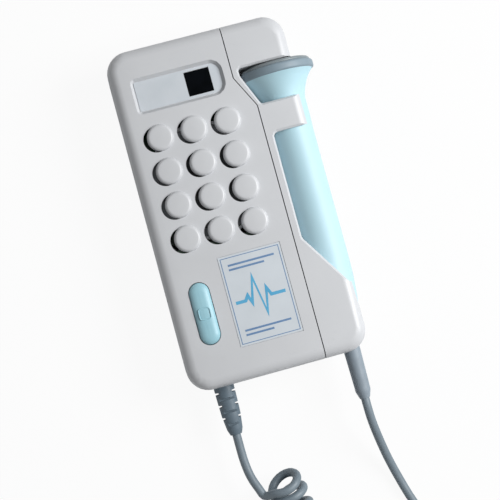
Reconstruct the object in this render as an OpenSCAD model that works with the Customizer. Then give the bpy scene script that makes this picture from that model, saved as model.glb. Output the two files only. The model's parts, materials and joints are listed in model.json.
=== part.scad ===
// Pocket fetal doppler: a hand-held case with a loudspeaker grille, a holstered probe and its curly lead.
// The case lies on its back: +Z out of the front face, +Y towards the head end, the back face at z = 0.

/* [Case] */
// Width of the case, left to right
case_w = 74; // [72:0.5:80]
// Length of the case, foot to head
case_l = 140; // [138:0.5:150]
// Thickness of the case, back to front
case_t = 27; // [26.5:0.25:30]
// Height of the joint between the back shell and the front mouldings
parting_z = 12; // [11.5:0.25:12.5]
// Wall thickness of the shells
wall = 2.2; // [1.8:0.1:2.4]
// Radius of the case corners seen from the front
corner_r = 9; // [7:0.5:12]
// Radius of the head-end corner above the probe
head_corner_r = 9; // [7:0.5:12]
// Rounding of the front edges
front_round = 4.5; // [3.5:0.25:5]
// Rounding of the back edges
back_round = 3; // [2.5:0.25:3.5]

/* [Seam between cover and holster] */
// Side position of the seam beside the head block
seam_head_x = 11.5; // [10.5:0.25:11.75]
// Side position of the seam beside the probe handle
seam_low_x = 18; // [17.5:0.25:18.25]
// Height where the seam leaves the head block
seam_knee_y = 48; // [46:0.5:49]
// Height where the seam meets the handle side
seam_foot_y = 35; // [34:0.5:36]
// Gap of the seam between the two mouldings
seam_gap = 0.4; // [0.3:0.05:0.5]

/* [Loudspeaker grille] */
// Diameter of the flat top of a grille disc
disc_d = 8; // [7.6:0.1:9]
// Diameter of a grille disc at its foot
disc_foot_d = 10.8; // [10.4:0.1:11.2]
// Height of a grille disc over the front face
disc_h = 1.6; // [1.5:0.1:2.2]
// Distance between neighbouring discs
disc_pitch = 13.9; // [13.5:0.1:14]
// Side position of the grille's middle from the middle of the cover
grille_off = 0.6; // [0.3:0.1:0.9]
// Height of the grille's middle
grille_y = 11.4; // [11:0.1:12]
// Greatest width of the crescent sound slot at a disc's foot
slot_w = 1.6; // [1:0.05:1.8]
// Direction from a disc to the middle of its slot
slot_angle = 191; // [180:1:230]

/* [Display] */
// Side position of the recess that holds the display
recess_x = -10.3; // [-11:0.1:-10]
// Height of the middle of the display recess
recess_y = 50.4; // [50:0.1:51]
// Width of the display recess
recess_w = 37.4; // [36:0.1:38]
// Length of the display recess
recess_l = 14.8; // [14.4:0.1:15.2]
// Depth of the display recess
recess_d = 1.7; // [1.2:0.1:2]
// How far the recess narrows down to its floor
recess_slope = 1.2; // [0.6:0.1:1.5]
// Side position of the display window
display_x = -2; // [-3:0.1:-1.5]
// Width of the display window
display_w = 9.6; // [9:0.1:10.5]
// Length of the display window
display_l = 9.3; // [9:0.1:10]

/* [Power button] */
// Distance from the case's left side to the middle of the power button
button_in = 13; // [12.5:0.1:14]
// Height of the power button
button_y = -40; // [-42:0.5:-38]
// Width of the button cap
button_w = 8.2; // [8:0.1:9]
// Length of the button cap
button_l = 25; // [24:0.1:26]
// Height of the cap over the front face
button_proud = 1.5; // [1:0.1:2]
// Travel of the button
button_travel = 0.8; // [0.5:0.1:0.8]
// Gap all round the cap in its opening
button_gap = 0.25; // [0.2:0.05:0.4]

/* [Label] */
// Side position of the label's middle
label_x = -0.7; // [-1:0.1:0]
// Height of the label's middle
label_y = -38.4; // [-39:0.1:-38]
// Width of the label
label_w = 25.6; // [24:0.1:26]
// Length of the label
label_l = 36.4; // [34:0.1:37]
// Thickness of the label
label_t = 0.3; // [0.2:0.05:0.5]

/* [Probe] */
// Side position of the probe's axis
probe_x = 30.2; // [29.8:0.1:31]
// Radius of the handle
handle_r = 8.8; // [8.5:0.05:9]
// Radius of the neck under the bridge
neck_r = 9; // [8.8:0.05:9.2]
// Radius of the probe's head
head_r = 15.8; // [15:0.1:16]
// Radius of the handle's foot, where its strain relief leaves it
foot_r = 4.6; // [4.4:0.1:5]
// Wall thickness of the probe's shells
probe_wall = 1.6; // [1.2:0.1:1.8]
// Height of the foot of the rim round the probe's face
rim_y = 45.6; // [45:0.1:45.8]
// Length of that rim
rim_l = 3.6; // [3:0.1:3.8]
// Height of the handle's foot over the foot of the case
foot_lift = 2.5; // [2.2:0.1:3]
// Gap all round the probe in its holster
holster_gap = 0.4; // [0.3:0.05:0.5]

/* [Holster] */
// Height of the lower edge of the head block
block_y = 51.4; // [51:0.1:52]
// Height of the bridge's upper edge
bridge_top_y = 35.3; // [35:0.1:35.5]
// Height of the bridge's lower edge
bridge_low_y = 22.8; // [22:0.1:24]
// Side position of the handle window's edge
window_x = 21.5; // [21:0.05:21.8]
// Height where the window's edge turns towards the side
window_turn_y = -21; // [-24:0.5:-18]
// Height where the window's edge reaches the side
window_low_y = -43; // [-46:0.5:-41]
// Bevel round the holster's openings
edge_bevel = 0.8; // [0.5:0.1:1]

/* [Battery and door] */
// Width of the nine-volt battery
battery_w = 26.2; // [26:0.1:26.5]
// Length of the nine-volt battery without its studs
battery_l = 46.4; // [46:0.1:46.5]
// Thickness of the nine-volt battery
battery_t = 17; // [16.5:0.1:17.3]
// Side position of the battery
battery_x = -1.5; // [-2:0.1:-1]
// Width of the battery door
door_w = 31; // [29:0.5:32]
// Length of the battery door
door_l = 52; // [50:0.5:53]
// Gap round the door
door_gap = 0.3; // [0.2:0.05:0.4]

/* [Head-end controls] */
// Side position of the volume wheel
wheel_x = -17; // [-17.5:0.1:-16.5]
// Radius of the volume wheel
wheel_r = 8; // [7.8:0.1:8.2]
// Thickness of the volume wheel
wheel_t = 2.6; // [2.2:0.1:3]
// Side position of the headphone jack
jack_x = -3; // [-3.4:0.1:-2.6]
// Radius of the headphone jack's bore, for a 3.5 mm plug
jack_r = 1.78; // [1.76:0.01:1.82]
// Depth of the headphone jack's bore
jack_bore_l = 14; // [13:0.5:15]

/* [Lead] */
// Diameter of the lead
lead_d = 3.5; // [3.3:0.1:3.6]
// Side position where the lead leaves the case
lead_x = -23.8; // [-24:0.1:-23.6]
// Length of the strain relief outside the case
relief_l = 20.5; // [20:0.5:22]
// Length of the probe's strain relief below the case
probe_relief_l = 20; // [19:0.5:21]
// Radius of the helix down the middle of the curled lead
curl_r = 6.3; // [6:0.1:6.4]
// Pitch of the curls where the coil lies straight
curl_pitch = 4.2; // [4.1:0.05:4.3]

/* [Hidden] */
$fn = 48;
eps = 0.02;
hull_fn = 32;
// The probe's axis stands high enough for its head to clear the back face
head_clear = 0.2;
// Thickness of the strip of moulding between the seam and the bay of the probe's head, at its two ends
bay_rib = 3;
bay_rib_low = 1.95;
probe_z = head_r + head_clear;
case_top = case_l / 2;
case_side = case_w / 2;
far = 60;
foot_y = -case_top + foot_lift;
neck_y = 32;
disc_round = (disc_foot_d - disc_d) / 2;
grille_x = (seam_low_x - case_side) / 2 + grille_off;
button_x = -case_side + button_in;
round_steps = 5;
face_z = case_t;
skin_z = case_t - wall;
// Battery bay
battery_z = wall + 0.4;
battery_low_y = -case_top + wall + 0.6;
battery_top_y = battery_low_y + battery_l;
stud_l = 2;
snap_t = 3.8;
bay_wall_t = 1.4;
bay_wall_y = battery_top_y + stud_l + snap_t - 0.3;
snap_w = 24;
snap_l = 12;
// Screws and the bosses that take them
screw_r = 1.4;
screw_head_r = 2.6;
screw_head_t = 1.8;
screw_sink = 0.8;
screw_clear = 0.15;
boss_r = 3;
screw_l = 19.5;
cover_screws = [[-case_side + 7.5, case_top - 7.3], [seam_head_x - 4.75, case_top - 4.9],
  [-case_side + 5.1, -case_top + 9.5], [seam_low_x - 4.2, bay_wall_y + 5.8]];
holster_screws = [[seam_head_x + 12.5, case_top - 8], [seam_low_x + 2.8, -case_top + 8]];
// Boards and the screws that hold them
board_t = 1.6;
main_board_z = 7;
main_board_low_y = bay_wall_y + bay_wall_t + 3.9;
main_board_top_y = case_top - 4;
control_board_z = case_t - 6.4;
board_side_x = -case_side + wall + 1.8;
main_board_right_x = seam_head_x - 2;
control_board_right_x = seam_low_x - 3;
control_board_top_y = bay_wall_y + 2.3;
control_board_low_y = -case_top + 8;
// Chips of the control board, up from its low edge, past the end of the lead
control_chips = [13, 25];
board_screw_r = 1;
board_screw_head_r = 1.9;
board_screw_head_t = 1.1;
board_post_r = 2.3;
main_posts = [[board_side_x + 3, main_board_low_y + 4], [board_side_x + 3, recess_y - 5],
  [main_board_right_x - 3.5, main_board_low_y + 4], [main_board_right_x - 3.5, recess_y - 5]];
control_posts = [[board_side_x + 2.8, control_board_top_y - 3.5],
  [board_side_x + 2.8, control_board_low_y + 9], [label_x + 5, control_board_top_y - 5]];
seat = 0.3;
// Loudspeaker
speaker_r = 22.3;
gasket_t = 0.7;
basket_t = 1.2;
// Film under the display window
plate_t = 0.3;
basket_h = 6;
magnet_r = 13;
magnet_t = 5;
coil_r = 5;
edge_r = speaker_r - 2.7;
speaker_z = skin_z - gasket_t - basket_t;
// Volume wheel and jack lie on the parting plane
wheel_y = case_top - wheel_r - 0.2;
wheel_z = parting_z - 0.1;
wheel_scoop_r = 14;
wheel_scoop_depth = 1.2;
wheel_side_gap = 0.6;
shaft_r = 1.5;
shaft_l = 2.6;
shaft_gap = 0.05;
pot_w = 9.5;
jack_w = 6.4;
jack_nose_r = 2.9;
jack_hole_gap = 0.15;
// Door
door_lip = 1;
door_tongue = 1.5;
door_runner_l = 18;
door_top_y = -case_top + door_l;
// Boards' chips: main board [side, up, width, length, height] from the loudspeaker's middle
main_chips = [[-6, -2, 9, 9, 1.5], [9, 8, 6, 10, 1.8], [-14, 16, 7, 5, 1.8]];
probe_board_in = 23.5;
probe_chip_w = 7;
probe_chip_t = 2;
// Holes round the loudspeaker's basket
basket_hole_at = 14;
basket_hole_r = 2.6;
// Strain reliefs
relief_r = 4.1;
relief_flange_r = 5.2;
relief_flange_t = 1.8;
relief_slot_t = 0.9;
relief_slot_pitch = 2.6;
relief_end_r = 2.1;
probe_relief_r = 3.4;
// Button and switch
cap_flange = 0.9;
cap_flange_t = 0.9;
cap_wall = 1.4;
switch_w = 5;
switch_h = 2.4;
plunger_r = 1.6;
plunger_gap = 0.05;
switch_low = control_board_z + board_t;
plunger_low = switch_low + button_travel + 0.4;
plunger_top = switch_low + switch_h + button_travel + 0.3;

// --- plain geometry helpers ---
function unit(v) = v / norm(v);
function between(a, b, t) = a + (b - a) * t;
// A corner b of an outline, drawn as an arc of radius r in n steps
function corner_arc(a, b, c, r, n) =
  r <= 0 ? [b] :
  let (u = unit(a - b), v = unit(c - b), half = acos(u * v) / 2, mid = unit(u + v))
  let (centre = b + mid * r / sin(half), p = b + u * r / tan(half), q = b + v * r / tan(half))
  [for (i = [0 : n]) centre + r * unit(between(p, q, i / n) - centre)];
// An outline with its corners rounded by the radii in radii
function rounded(points, radii, n = 4) =
  let (m = len(points))
  [for (i = [0 : m - 1])
    each corner_arc(points[(i + m - 1) % m], points[i], points[(i + 1) % m], radii[i], n)];
// The quarter arc of a rounded edge about centre, from angle a to b
function edge_arc(centre, r, a, b) =
  [for (i = [0 : round_steps])
    let (turn = between(a, b, i / round_steps)) centre + r * [cos(turn), sin(turn)]];
// A plan outline of the case's seam, moved sideways by off, from head to foot
function seam_line(off) = [[seam_head_x + off, case_top + far], [seam_head_x + off, seam_knee_y],
  [seam_low_x + off, seam_foot_y], [seam_low_x + off, -case_top - far]];

module stadium(w, l) {
  square([w, l - w], center = true);
  for (side = [-1, 1]) translate([0, side * (l - w) / 2]) circle(d = w);
}
module plate(w, l, t) {
  translate([-w / 2, -l / 2, 0]) cube([w, l, t]);
}
// A shape turned about the probe's own axis: its outline holds [radius, height along Y]
module turned_at(x, z, outline) {
  translate([x, 0, z]) rotate([-90, 0, 0]) rotate_extrude() polygon(outline);
}

// --- the case's outer form, drawn in by inset ---
module corner_post(r, inset) {
  low = inset;
  high = case_t - inset;
  front_r = max(front_round - inset, 0.4);
  back_r = max(back_round - inset, 0.4);
  rotate_extrude($fn = hull_fn) polygon(concat([[0, low]],
    edge_arc([r - inset - back_r, low + back_r], back_r, -90, 0),
    edge_arc([r - inset - front_r, high - front_r], front_r, 0, 90), [[0, high]]));
}
module case_form(inset) {
  hull() {
    for (side = [-1, 1])
      translate([side * (case_side - corner_r), -case_top + corner_r, 0]) corner_post(corner_r, inset);
    translate([-case_side + corner_r, case_top - corner_r, 0]) corner_post(corner_r, inset);
    translate([case_side - head_corner_r, case_top - head_corner_r, 0]) corner_post(head_corner_r, inset);
  }
}
// Everything on the cover's side of the seam, from z = low up
module cover_zone(low, off) {
  translate([0, 0, low]) linear_extrude(far)
    polygon(concat([[-far * 2, case_top + far]], seam_line(off), [[-far * 2, -case_top - far]]));
}
// Everything on the holster's side of the seam, from z = low up
module holster_zone(low, off) {
  translate([0, 0, low]) linear_extrude(far)
    polygon(concat([[far * 2, -case_top - far], [far * 2, case_top + far]], seam_line(off)));
}

// --- the probe's outline and the room that the holster keeps for it ---
// [radius, height] pairs up the outside of the handle, widened by gap
function handle_outline(gap) = [[foot_r + gap, foot_y - gap], [foot_r + 1 + gap, foot_y + 4.5],
  [handle_r - 1 + gap, foot_y + 17], [handle_r + gap, foot_y + 31], [handle_r + gap, bridge_low_y - 2],
  [neck_r + gap, bridge_low_y + 2], [neck_r + gap, neck_y]];
// The cone's flare: the part of its growth in radius against the part of its length
flare = [[0, 0], [0.02, 0.22], [0.17, 0.44], [0.4, 0.66], [0.68, 0.85], [1, 1]];
function cone_outline(gap) = [for (f = flare)
  [neck_r + gap + f[0] * (head_r - 0.9 - neck_r), neck_y + f[1] * (rim_y - neck_y)]];
module probe_room() {
  outline = handle_outline(holster_gap);
  top = len(outline) - 1;
  neck = neck_r + holster_gap;
  low_r = probe_relief_r + holster_gap * 2;
  turned_at(probe_x, probe_z, concat(
    [[0, -case_top - far], [low_r, -case_top - far], [low_r, foot_y - holster_gap]],
    outline, [[neck, seam_foot_y + 2], [0, seam_foot_y + 2]]));
  // The same room carried sideways, so that the probe slides out of the open side
  translate([probe_x, 0, probe_z]) rotate([90, 0, 90]) linear_extrude(far)
    polygon(concat([[-case_top - far, low_r], [foot_y - holster_gap, low_r]], [for (p = outline) [p[1], p[0]]],
      [[seam_foot_y + 2, neck], [seam_foot_y + 2, -neck]],
      [for (i = [0 : top]) [outline[top - i][1], -outline[top - i][0]]],
      [[foot_y - holster_gap, -low_r], [-case_top - far, -low_r]]));
}
module bay_shape() {
  left = seam_head_x + bay_rib;
  edge = [[left, block_y], [left, seam_knee_y + 0.3], [seam_low_x + bay_rib_low, bridge_top_y],
    [far * 2, bridge_top_y], [far * 2, block_y]];
  polygon(rounded(edge, [1.2, 1, 1.2, 0, 0]));
}
module window_shape() {
  edge = [[window_x, bridge_low_y], [far * 2, bridge_low_y], [far * 2, window_low_y],
    [case_side - 1.5, window_low_y], [window_x, window_turn_y]];
  polygon(rounded(edge, [2, 0, 0, 2, 3]));
}
// The bevel round an opening of the front: its shape widens up to the face
module front_bevel() {
  hull() {
    translate([0, 0, face_z - edge_bevel]) linear_extrude(0.01) children();
    translate([0, 0, face_z]) linear_extrude(1) offset(delta = edge_bevel) children();
  }
}
// The bay round the probe's head is open at the front, at the back and at the side
module head_bay() {
  translate([0, 0, -far]) linear_extrude(far * 2) bay_shape();
  // Behind the strip, room for the widest part of the head
  turned_at(probe_x, probe_z, concat([[0, neck_y]], cone_outline(holster_gap),
    [[head_r + holster_gap, rim_y], [head_r + holster_gap, block_y], [0, block_y]]));
}
module handle_window() {
  translate([0, 0, probe_z]) linear_extrude(far) window_shape();
}
module screw_holes(places, r, low, high) {
  for (p = places) translate([p[0], p[1], low]) cylinder(r = r, h = high - low);
}

// --- front cover ---
module grille_places() {
  for (i = [-1 : 1], j = [-1.5 : 1 : 1.5])
    translate([grille_x + i * disc_pitch, grille_y + j * disc_pitch, 0]) children();
}
module grille_disc() {
  rotate_extrude($fn = 40) polygon(concat([[0, -0.5], [disc_foot_d / 2, -0.5]],
    edge_arc([disc_d / 2, disc_h - disc_round], disc_round, 0, 85), [[0, disc_h + 0.1]]));
}
module sound_slot() {
  slot_r = disc_foot_d / 2 - 0.2;
  shift = slot_w + 0.2;
  difference() {
    translate([shift * cos(slot_angle), shift * sin(slot_angle), skin_z - 1])
      cylinder(r = slot_r, h = wall + 1.5);
    translate([0, 0, skin_z - 2]) cylinder(d = disc_foot_d, h = wall + 4);
  }
}
module recess_shape(grow) {
  w = recess_w + 2 * grow;
  l = recess_l + 2 * grow;
  radii = [2 + grow, 5 + grow, 5 + grow, 2 + grow];
  polygon(rounded([[-w / 2, -l / 2], [w / 2, -l / 2], [w / 2, l / 2], [-w / 2, l / 2]], radii));
}
module lead_hole() {
  translate([lead_x, -case_top + wall + 1, parting_z]) rotate([90, 0, 0])
    cylinder(r = relief_r - 0.2, h = wall + 2);
  // Room for the flange of the strain relief
  translate([lead_x, -case_top + wall + relief_flange_t + 0.5, parting_z]) rotate([90, 0, 0])
    cylinder(r = relief_flange_r + seat, h = relief_flange_t + 0.4);
}
module head_end_holes() {
  // Scoop for the finger, slot for the wheel and hole for the jack's nose
  translate([wheel_x, case_top + wheel_scoop_r - wheel_scoop_depth, parting_z - 3.4])
    cylinder(r = wheel_scoop_r, h = wheel_t + 6);
  translate([wheel_x, wheel_y, wheel_z - wheel_side_gap])
    cylinder(r = wheel_r + wheel_side_gap, h = wheel_t + 2 * wheel_side_gap);
  translate([jack_x, case_top + 1, parting_z]) rotate([90, 0, 0])
    cylinder(r = jack_nose_r + jack_hole_gap, h = 8);
}
module front_cover() {
  color([0.8, 0.81, 0.82]) difference() {
    union() {
      intersection() {
        difference() {
          case_form(0);
          case_form(wall);
        }
        cover_zone(parting_z, 0);
      }
      // The return wall down the seam
      intersection() {
        case_form(wall / 2);
        difference() {
          cover_zone(parting_z, 0);
          cover_zone(parting_z - 1, -wall * 0.8);
        }
      }
      grille_places() translate([0, 0, face_z]) grille_disc();
      screw_bosses_front();
      // Pad behind the display recess, collar round the loudspeaker and posts for the control board
      translate([recess_x, recess_y, skin_z - recess_d]) linear_extrude(recess_d + 0.5) recess_shape(1.2);
      translate([grille_x, grille_y, speaker_z]) difference() {
        cylinder(r = speaker_r + seat + 1.2, h = skin_z - speaker_z + 0.5);
        translate([0, 0, -1]) cylinder(r = speaker_r + seat, h = far);
      }
      screw_holes(control_posts, board_post_r, control_board_z + board_t, skin_z + 0.5);
    }
    hull() {
      translate([recess_x, recess_y, face_z - recess_d]) linear_extrude(0.01) recess_shape(-recess_slope);
      translate([recess_x, recess_y, face_z]) linear_extrude(1) recess_shape(0);
    }
    translate([display_x, recess_y, skin_z - far / 2]) plate(display_w + 2 * seat, display_l + 2 * seat, far);
    grille_places() sound_slot();
    translate([button_x, button_y, skin_z - 1]) linear_extrude(far)
      stadium(button_w + 2 * button_gap, button_l + 2 * button_gap);
    translate([label_x, label_y, face_z - label_t - 0.1]) plate(label_w + 0.4, label_l + 0.4, far);
    screw_holes(cover_screws, screw_r + 0.05, parting_z - 1, screw_sink + screw_head_t + screw_l + 1);
    screw_holes(control_posts, board_screw_r + 0.05, control_board_z, skin_z - 0.4);
    lead_hole();
    head_end_holes();
    head_bay();
  }
}
module screw_bosses_front() {
  intersection() {
    screw_holes(cover_screws, boss_r, parting_z, skin_z + 0.5);
    case_form(wall / 2);
  }
}

// --- back shell ---
module bay_walls() {
  // Side and head walls of the battery bay
  low = wall - 0.5;
  top = parting_z - 0.5;
  left = battery_x - door_w / 2 - door_tongue - 1;
  translate([left - bay_wall_t, -case_top + wall / 2, low])
    cube([bay_wall_t, bay_wall_y + case_top - wall / 2, top - low]);
  translate([left - bay_wall_t, bay_wall_y, low])
    cube([seam_low_x - left + bay_wall_t + 1, bay_wall_t, top - low]);
}
module door_opening(gap) {
  // The door's own plan with a lip under which its tongues run
  translate([battery_x - door_w / 2 - gap, -case_top - 1, -1])
    cube([door_w + 2 * gap, door_l + 1 + gap, wall + 2]);
  translate([battery_x - door_w / 2 - door_tongue - gap, -case_top - 1, door_lip - gap / 2])
    cube([door_w + 2 * door_tongue + 2 * gap, door_runner_l + 1 + gap, wall]);
  translate([battery_x - door_w / 4 - gap, door_top_y - 1, door_lip - gap / 2])
    cube([door_w / 2 + 2 * gap, door_tongue + 1 + gap, wall]);
}
module rear_case() {
  color([0.78, 0.79, 0.8]) difference() {
    union() {
      intersection() {
        difference() {
          case_form(0);
          intersection() {
            case_form(wall);
            cover_zone(0, 0);
          }
          // The head block is hollow over its own floor
          intersection() {
            case_form(wall);
            holster_zone(0, wall);
            translate([0, block_y + wall, 0]) cube([far, far, far]);
          }
        }
        translate([-far, -far * 2, 0]) cube([far * 2, far * 4, parting_z]);
      }
      intersection() {
        screw_holes(concat(cover_screws, [holster_screws[0]]), boss_r + 0.2, wall / 2, parting_z);
        case_form(wall / 2);
      }
      screw_holes(main_posts, board_post_r, wall / 2, main_board_z);
      bay_walls();
    }
    probe_room();
    head_bay();
    door_opening(door_gap);
    screw_holes(concat(cover_screws, holster_screws), screw_r + screw_clear, -1, parting_z + 1);
    screw_holes(concat(cover_screws, holster_screws), screw_head_r + 0.3, -1, screw_sink + screw_head_t);
    screw_holes(main_posts, board_screw_r + 0.05, wall, main_board_z + 1);
    lead_hole();
    head_end_holes();
  }
}

// --- holster ---
module probe_holster() {
  color([0.82, 0.83, 0.84]) difference() {
    intersection() {
      difference() {
        case_form(0);
        difference() {
          intersection() {
            case_form(wall);
            holster_zone(0, wall);
            translate([0, block_y + wall, 0]) cube([far, far, far]);
          }
          screw_holes([holster_screws[0]], boss_r, 0, case_t);
        }
      }
      holster_zone(parting_z, seam_gap);
    }
    probe_room();
    head_bay();
    front_bevel() bay_shape();
    handle_window();
    front_bevel() window_shape();
    screw_holes(holster_screws, screw_r + 0.05, parting_z - 1, screw_sink + screw_head_t + screw_l + 1);
  }
}

// --- display, label and button ---
module display_plate() {
  color([0.86, 0.89, 0.92]) translate([recess_x, recess_y, face_z - recess_d])
    linear_extrude(plate_t) difference() {
      recess_shape(-recess_slope - 0.2);
      translate([display_x - recess_x, 0]) square([display_w + 0.8, display_l + 0.8], center = true);
    }
}
module display_window() {
  color([0.04, 0.06, 0.08]) translate([display_x, recess_y, skin_z - recess_d - 0.1])
    plate(display_w, display_l, wall + 0.5);
}
module display_module() {
  // A character display on its own small board, with a row of pins down to the main board
  low = main_board_z + board_t;
  top = skin_z - recess_d - seat;
  color([0.2, 0.45, 0.3]) translate([display_x, recess_y, top - 4.2]) plate(display_w + 6, display_l + 4, 1.2);
  color([0.12, 0.13, 0.15]) translate([display_x, recess_y, top - 3]) plate(display_w + 3, display_l + 2.5, 3);
  color([0.8, 0.7, 0.4]) for (i = [-2 : 2])
    translate([display_x + i * 2.54, recess_y - display_l / 2 - 1.2, low])
      cylinder(r = 0.35, h = top - 4.2 - low, $fn = 16);
}
module label_plate() {
  color([0.8, 0.86, 0.9]) translate([label_x, label_y, face_z - label_t - 0.05])
    plate(label_w, label_l, label_t);
}
module cap_post(r, low, high, soft) {
  rotate_extrude($fn = hull_fn)
    polygon(concat([[0, low], [r, low]], edge_arc([r - soft, high - soft], soft, 0, 80), [[0, high]]));
}
module power_button() {
  top = face_z + button_proud;
  flange_top = skin_z - 0.2;
  color([0.62, 0.79, 0.84]) difference() {
    union() {
      hull() for (side = [-1, 1])
        translate([button_x, button_y + side * (button_l - button_w) / 2, 0])
          cap_post(button_w / 2, flange_top - cap_flange_t, top, 1.6);
      translate([button_x, button_y, flange_top - cap_flange_t]) linear_extrude(cap_flange_t)
        stadium(button_w + 2 * cap_flange, button_l + 2 * cap_flange);
    }
    translate([button_x, button_y, 0]) linear_extrude(top - cap_wall - 1.2) difference() {
      stadium(button_w - 2 * cap_wall, button_l - 2 * cap_wall);
      circle(r = plunger_r + 0.6);
    }
    translate([button_x, button_y, 0]) cylinder(r = plunger_r + 1, h = plunger_top);
  }
}
// The plunger carries the cap, and sinks into the switch with it
module switch_plunger() {
  color([0.15, 0.15, 0.16]) translate([button_x, button_y, plunger_low])
    cylinder(r = plunger_r, h = plunger_top - plunger_low);
}
module switch_body() {
  color([0.25, 0.26, 0.28]) translate([button_x, button_y, switch_low]) difference() {
    plate(switch_w, switch_w, switch_h);
    translate([0, 0, 0.3]) cylinder(r = plunger_r + plunger_gap, h = far);
  }
}

// --- boards ---
module control_board() {
  color([0.1, 0.4, 0.25]) translate([0, 0, control_board_z]) linear_extrude(board_t) difference() {
    translate([board_side_x, control_board_low_y])
      square([control_board_right_x - board_side_x, control_board_top_y - control_board_low_y]);
    for (p = control_posts) translate(p) circle(r = board_screw_r + 0.15);
    for (p = cover_screws) translate(p) circle(r = boss_r + 0.6);
  }
  // Chips on the battery's side stay out of the battery's room
  color([0.15, 0.15, 0.17]) for (up = control_chips)
    translate([button_x + 0.5, control_board_low_y + up, control_board_z - 1.6]) plate(7, 5, 1.6);
}
module main_board() {
  color([0.1, 0.4, 0.25]) translate([0, 0, main_board_z]) linear_extrude(board_t) difference() {
    translate([board_side_x, main_board_low_y])
      square([main_board_right_x - board_side_x, main_board_top_y - main_board_low_y]);
    for (p = main_posts) translate(p) circle(r = board_screw_r + 0.15);
    for (p = cover_screws) translate(p) circle(r = boss_r + 0.8);
    translate(cover_screws[0] - [far, 0]) square(far);
  }
  color([0.15, 0.15, 0.17]) for (chip = main_chips)
    translate([grille_x + chip[0], grille_y + chip[1], main_board_z + board_t])
      plate(chip[2], chip[3], chip[4]);
  color([0.55, 0.57, 0.6]) for (i = [0 : 2])
    translate([grille_x - 15 + 13 * i, main_board_low_y + 5.8, main_board_z + board_t]) cylinder(r = 2, h = 3);
}
module board_link() {
  // A flat cable in two plugs, from the main board up to the control board
  w = 15;
  y = main_board_low_y - 1.6;
  low = main_board_z + board_t;
  color([0.85, 0.85, 0.82]) translate([grille_x - w / 2, 0, 0]) rotate([90, 0, 90]) linear_extrude(w) polygon([
    [main_board_low_y + 3.5, low], [main_board_low_y + 3.5, low + 2.5], [y + 0.8, low + 2.5],
    [y + 0.8, control_board_z - 2.5],
    [control_board_top_y + 1.6, control_board_z - 2.5], [control_board_top_y - 2, control_board_z - 2.5],
    [control_board_top_y - 2, control_board_z], [control_board_top_y - 4.5, control_board_z],
    [control_board_top_y - 4.5, control_board_z - 3.3], [y, control_board_z - 3.3], [y, low + 1.7],
    [main_board_low_y + 0.2, low + 1.7], [main_board_low_y + 0.2, low]]);
}

// --- loudspeaker ---
module speaker_gasket() {
  color([0.12, 0.12, 0.13]) translate([grille_x, grille_y, skin_z - gasket_t]) difference() {
    cylinder(r = speaker_r, h = gasket_t);
    translate([0, 0, -1]) cylinder(r = speaker_r - 2.5, h = far);
  }
}
module speaker_basket() {
  color([0.35, 0.36, 0.38]) translate([grille_x, grille_y, speaker_z - basket_h]) difference() {
    rotate_extrude() polygon([[0, 0], [11, 0], [magnet_r + 5, basket_h], [speaker_r, basket_h],
      [speaker_r, basket_h + basket_t], [speaker_r - 2.5, basket_h + basket_t], [magnet_r + 4, basket_h + 0.2],
      [10, 1], [coil_r, 1], [coil_r, 4], [0, 4]]);
    for (a = [0 : 60 : 300])
      rotate(a) translate([basket_hole_at, 0, 1.6]) cylinder(r = basket_hole_r, h = basket_h / 2);
  }
}
module speaker_cone() {
  color([0.2, 0.2, 0.21]) translate([grille_x, grille_y, speaker_z - basket_h]) rotate_extrude()
    polygon([[coil_r + 0.3, basket_h - 1.4], [0, basket_h + 0.3], [0, basket_h + 0.8],
      [coil_r + 0.2, basket_h - 0.8], [9, basket_h - 0.4], [edge_r - 3.1, basket_h + 1.1],
      [edge_r - 1.6, basket_h + 1.8], [edge_r, basket_h + 1.7], [edge_r, basket_h + 1.4],
      [edge_r - 1.6, basket_h + 1.4], [edge_r - 2.8, basket_h + 0.7], [9, basket_h - 1]]);
}
module speaker_magnet() {
  color([0.3, 0.3, 0.32]) translate([grille_x, grille_y, speaker_z - basket_h - magnet_t]) rotate_extrude()
    polygon([[0, 0], [magnet_r - 0.5, 0], [magnet_r, 0.5], [magnet_r, magnet_t - 1.2],
      [magnet_r - 1.5, magnet_t - 1.2], [magnet_r - 1.5, magnet_t], [0, magnet_t]]);
}

// --- head-end controls ---
module volume_wheel() {
  teeth = 32;
  color([0.3, 0.36, 0.4]) translate([wheel_x, wheel_y, wheel_z]) {
    linear_extrude(wheel_t) difference() {
      circle(r = wheel_r);
      for (i = [0 : teeth - 1]) rotate(i * 360 / teeth)
        translate([wheel_r + 0.15, 0]) circle(r = 0.45, $fn = 16);
    }
    // Its spindle turns in the potentiometer's bore
    translate([0, 0, -shaft_l]) cylinder(r = shaft_r, h = shaft_l + 1);
  }
}
module volume_pot() {
  low = main_board_z + board_t;
  color([0.45, 0.46, 0.48]) translate([wheel_x, wheel_y, low]) difference() {
    plate(pot_w, pot_w - 1, wheel_z - seat - low);
    translate([0, 0, wheel_z - shaft_l - seat - low]) cylinder(r = shaft_r + shaft_gap, h = shaft_l + 1);
  }
}
module headphone_jack() {
  low = main_board_z + board_t;
  body_l = jack_bore_l - wall + 0.8;
  color([0.1, 0.1, 0.11]) difference() {
    union() {
      translate([jack_x, case_top - wall - seat - body_l / 2, low])
        plate(jack_w, body_l, parting_z + jack_w / 2 - low);
      translate([jack_x, case_top - 0.2, parting_z]) rotate([90, 0, 0]) cylinder(r = jack_nose_r, h = wall + 1);
    }
    translate([jack_x, case_top + 1, parting_z]) rotate([90, 0, 0]) cylinder(r = jack_r, h = jack_bore_l + 1.2);
  }
}

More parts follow.
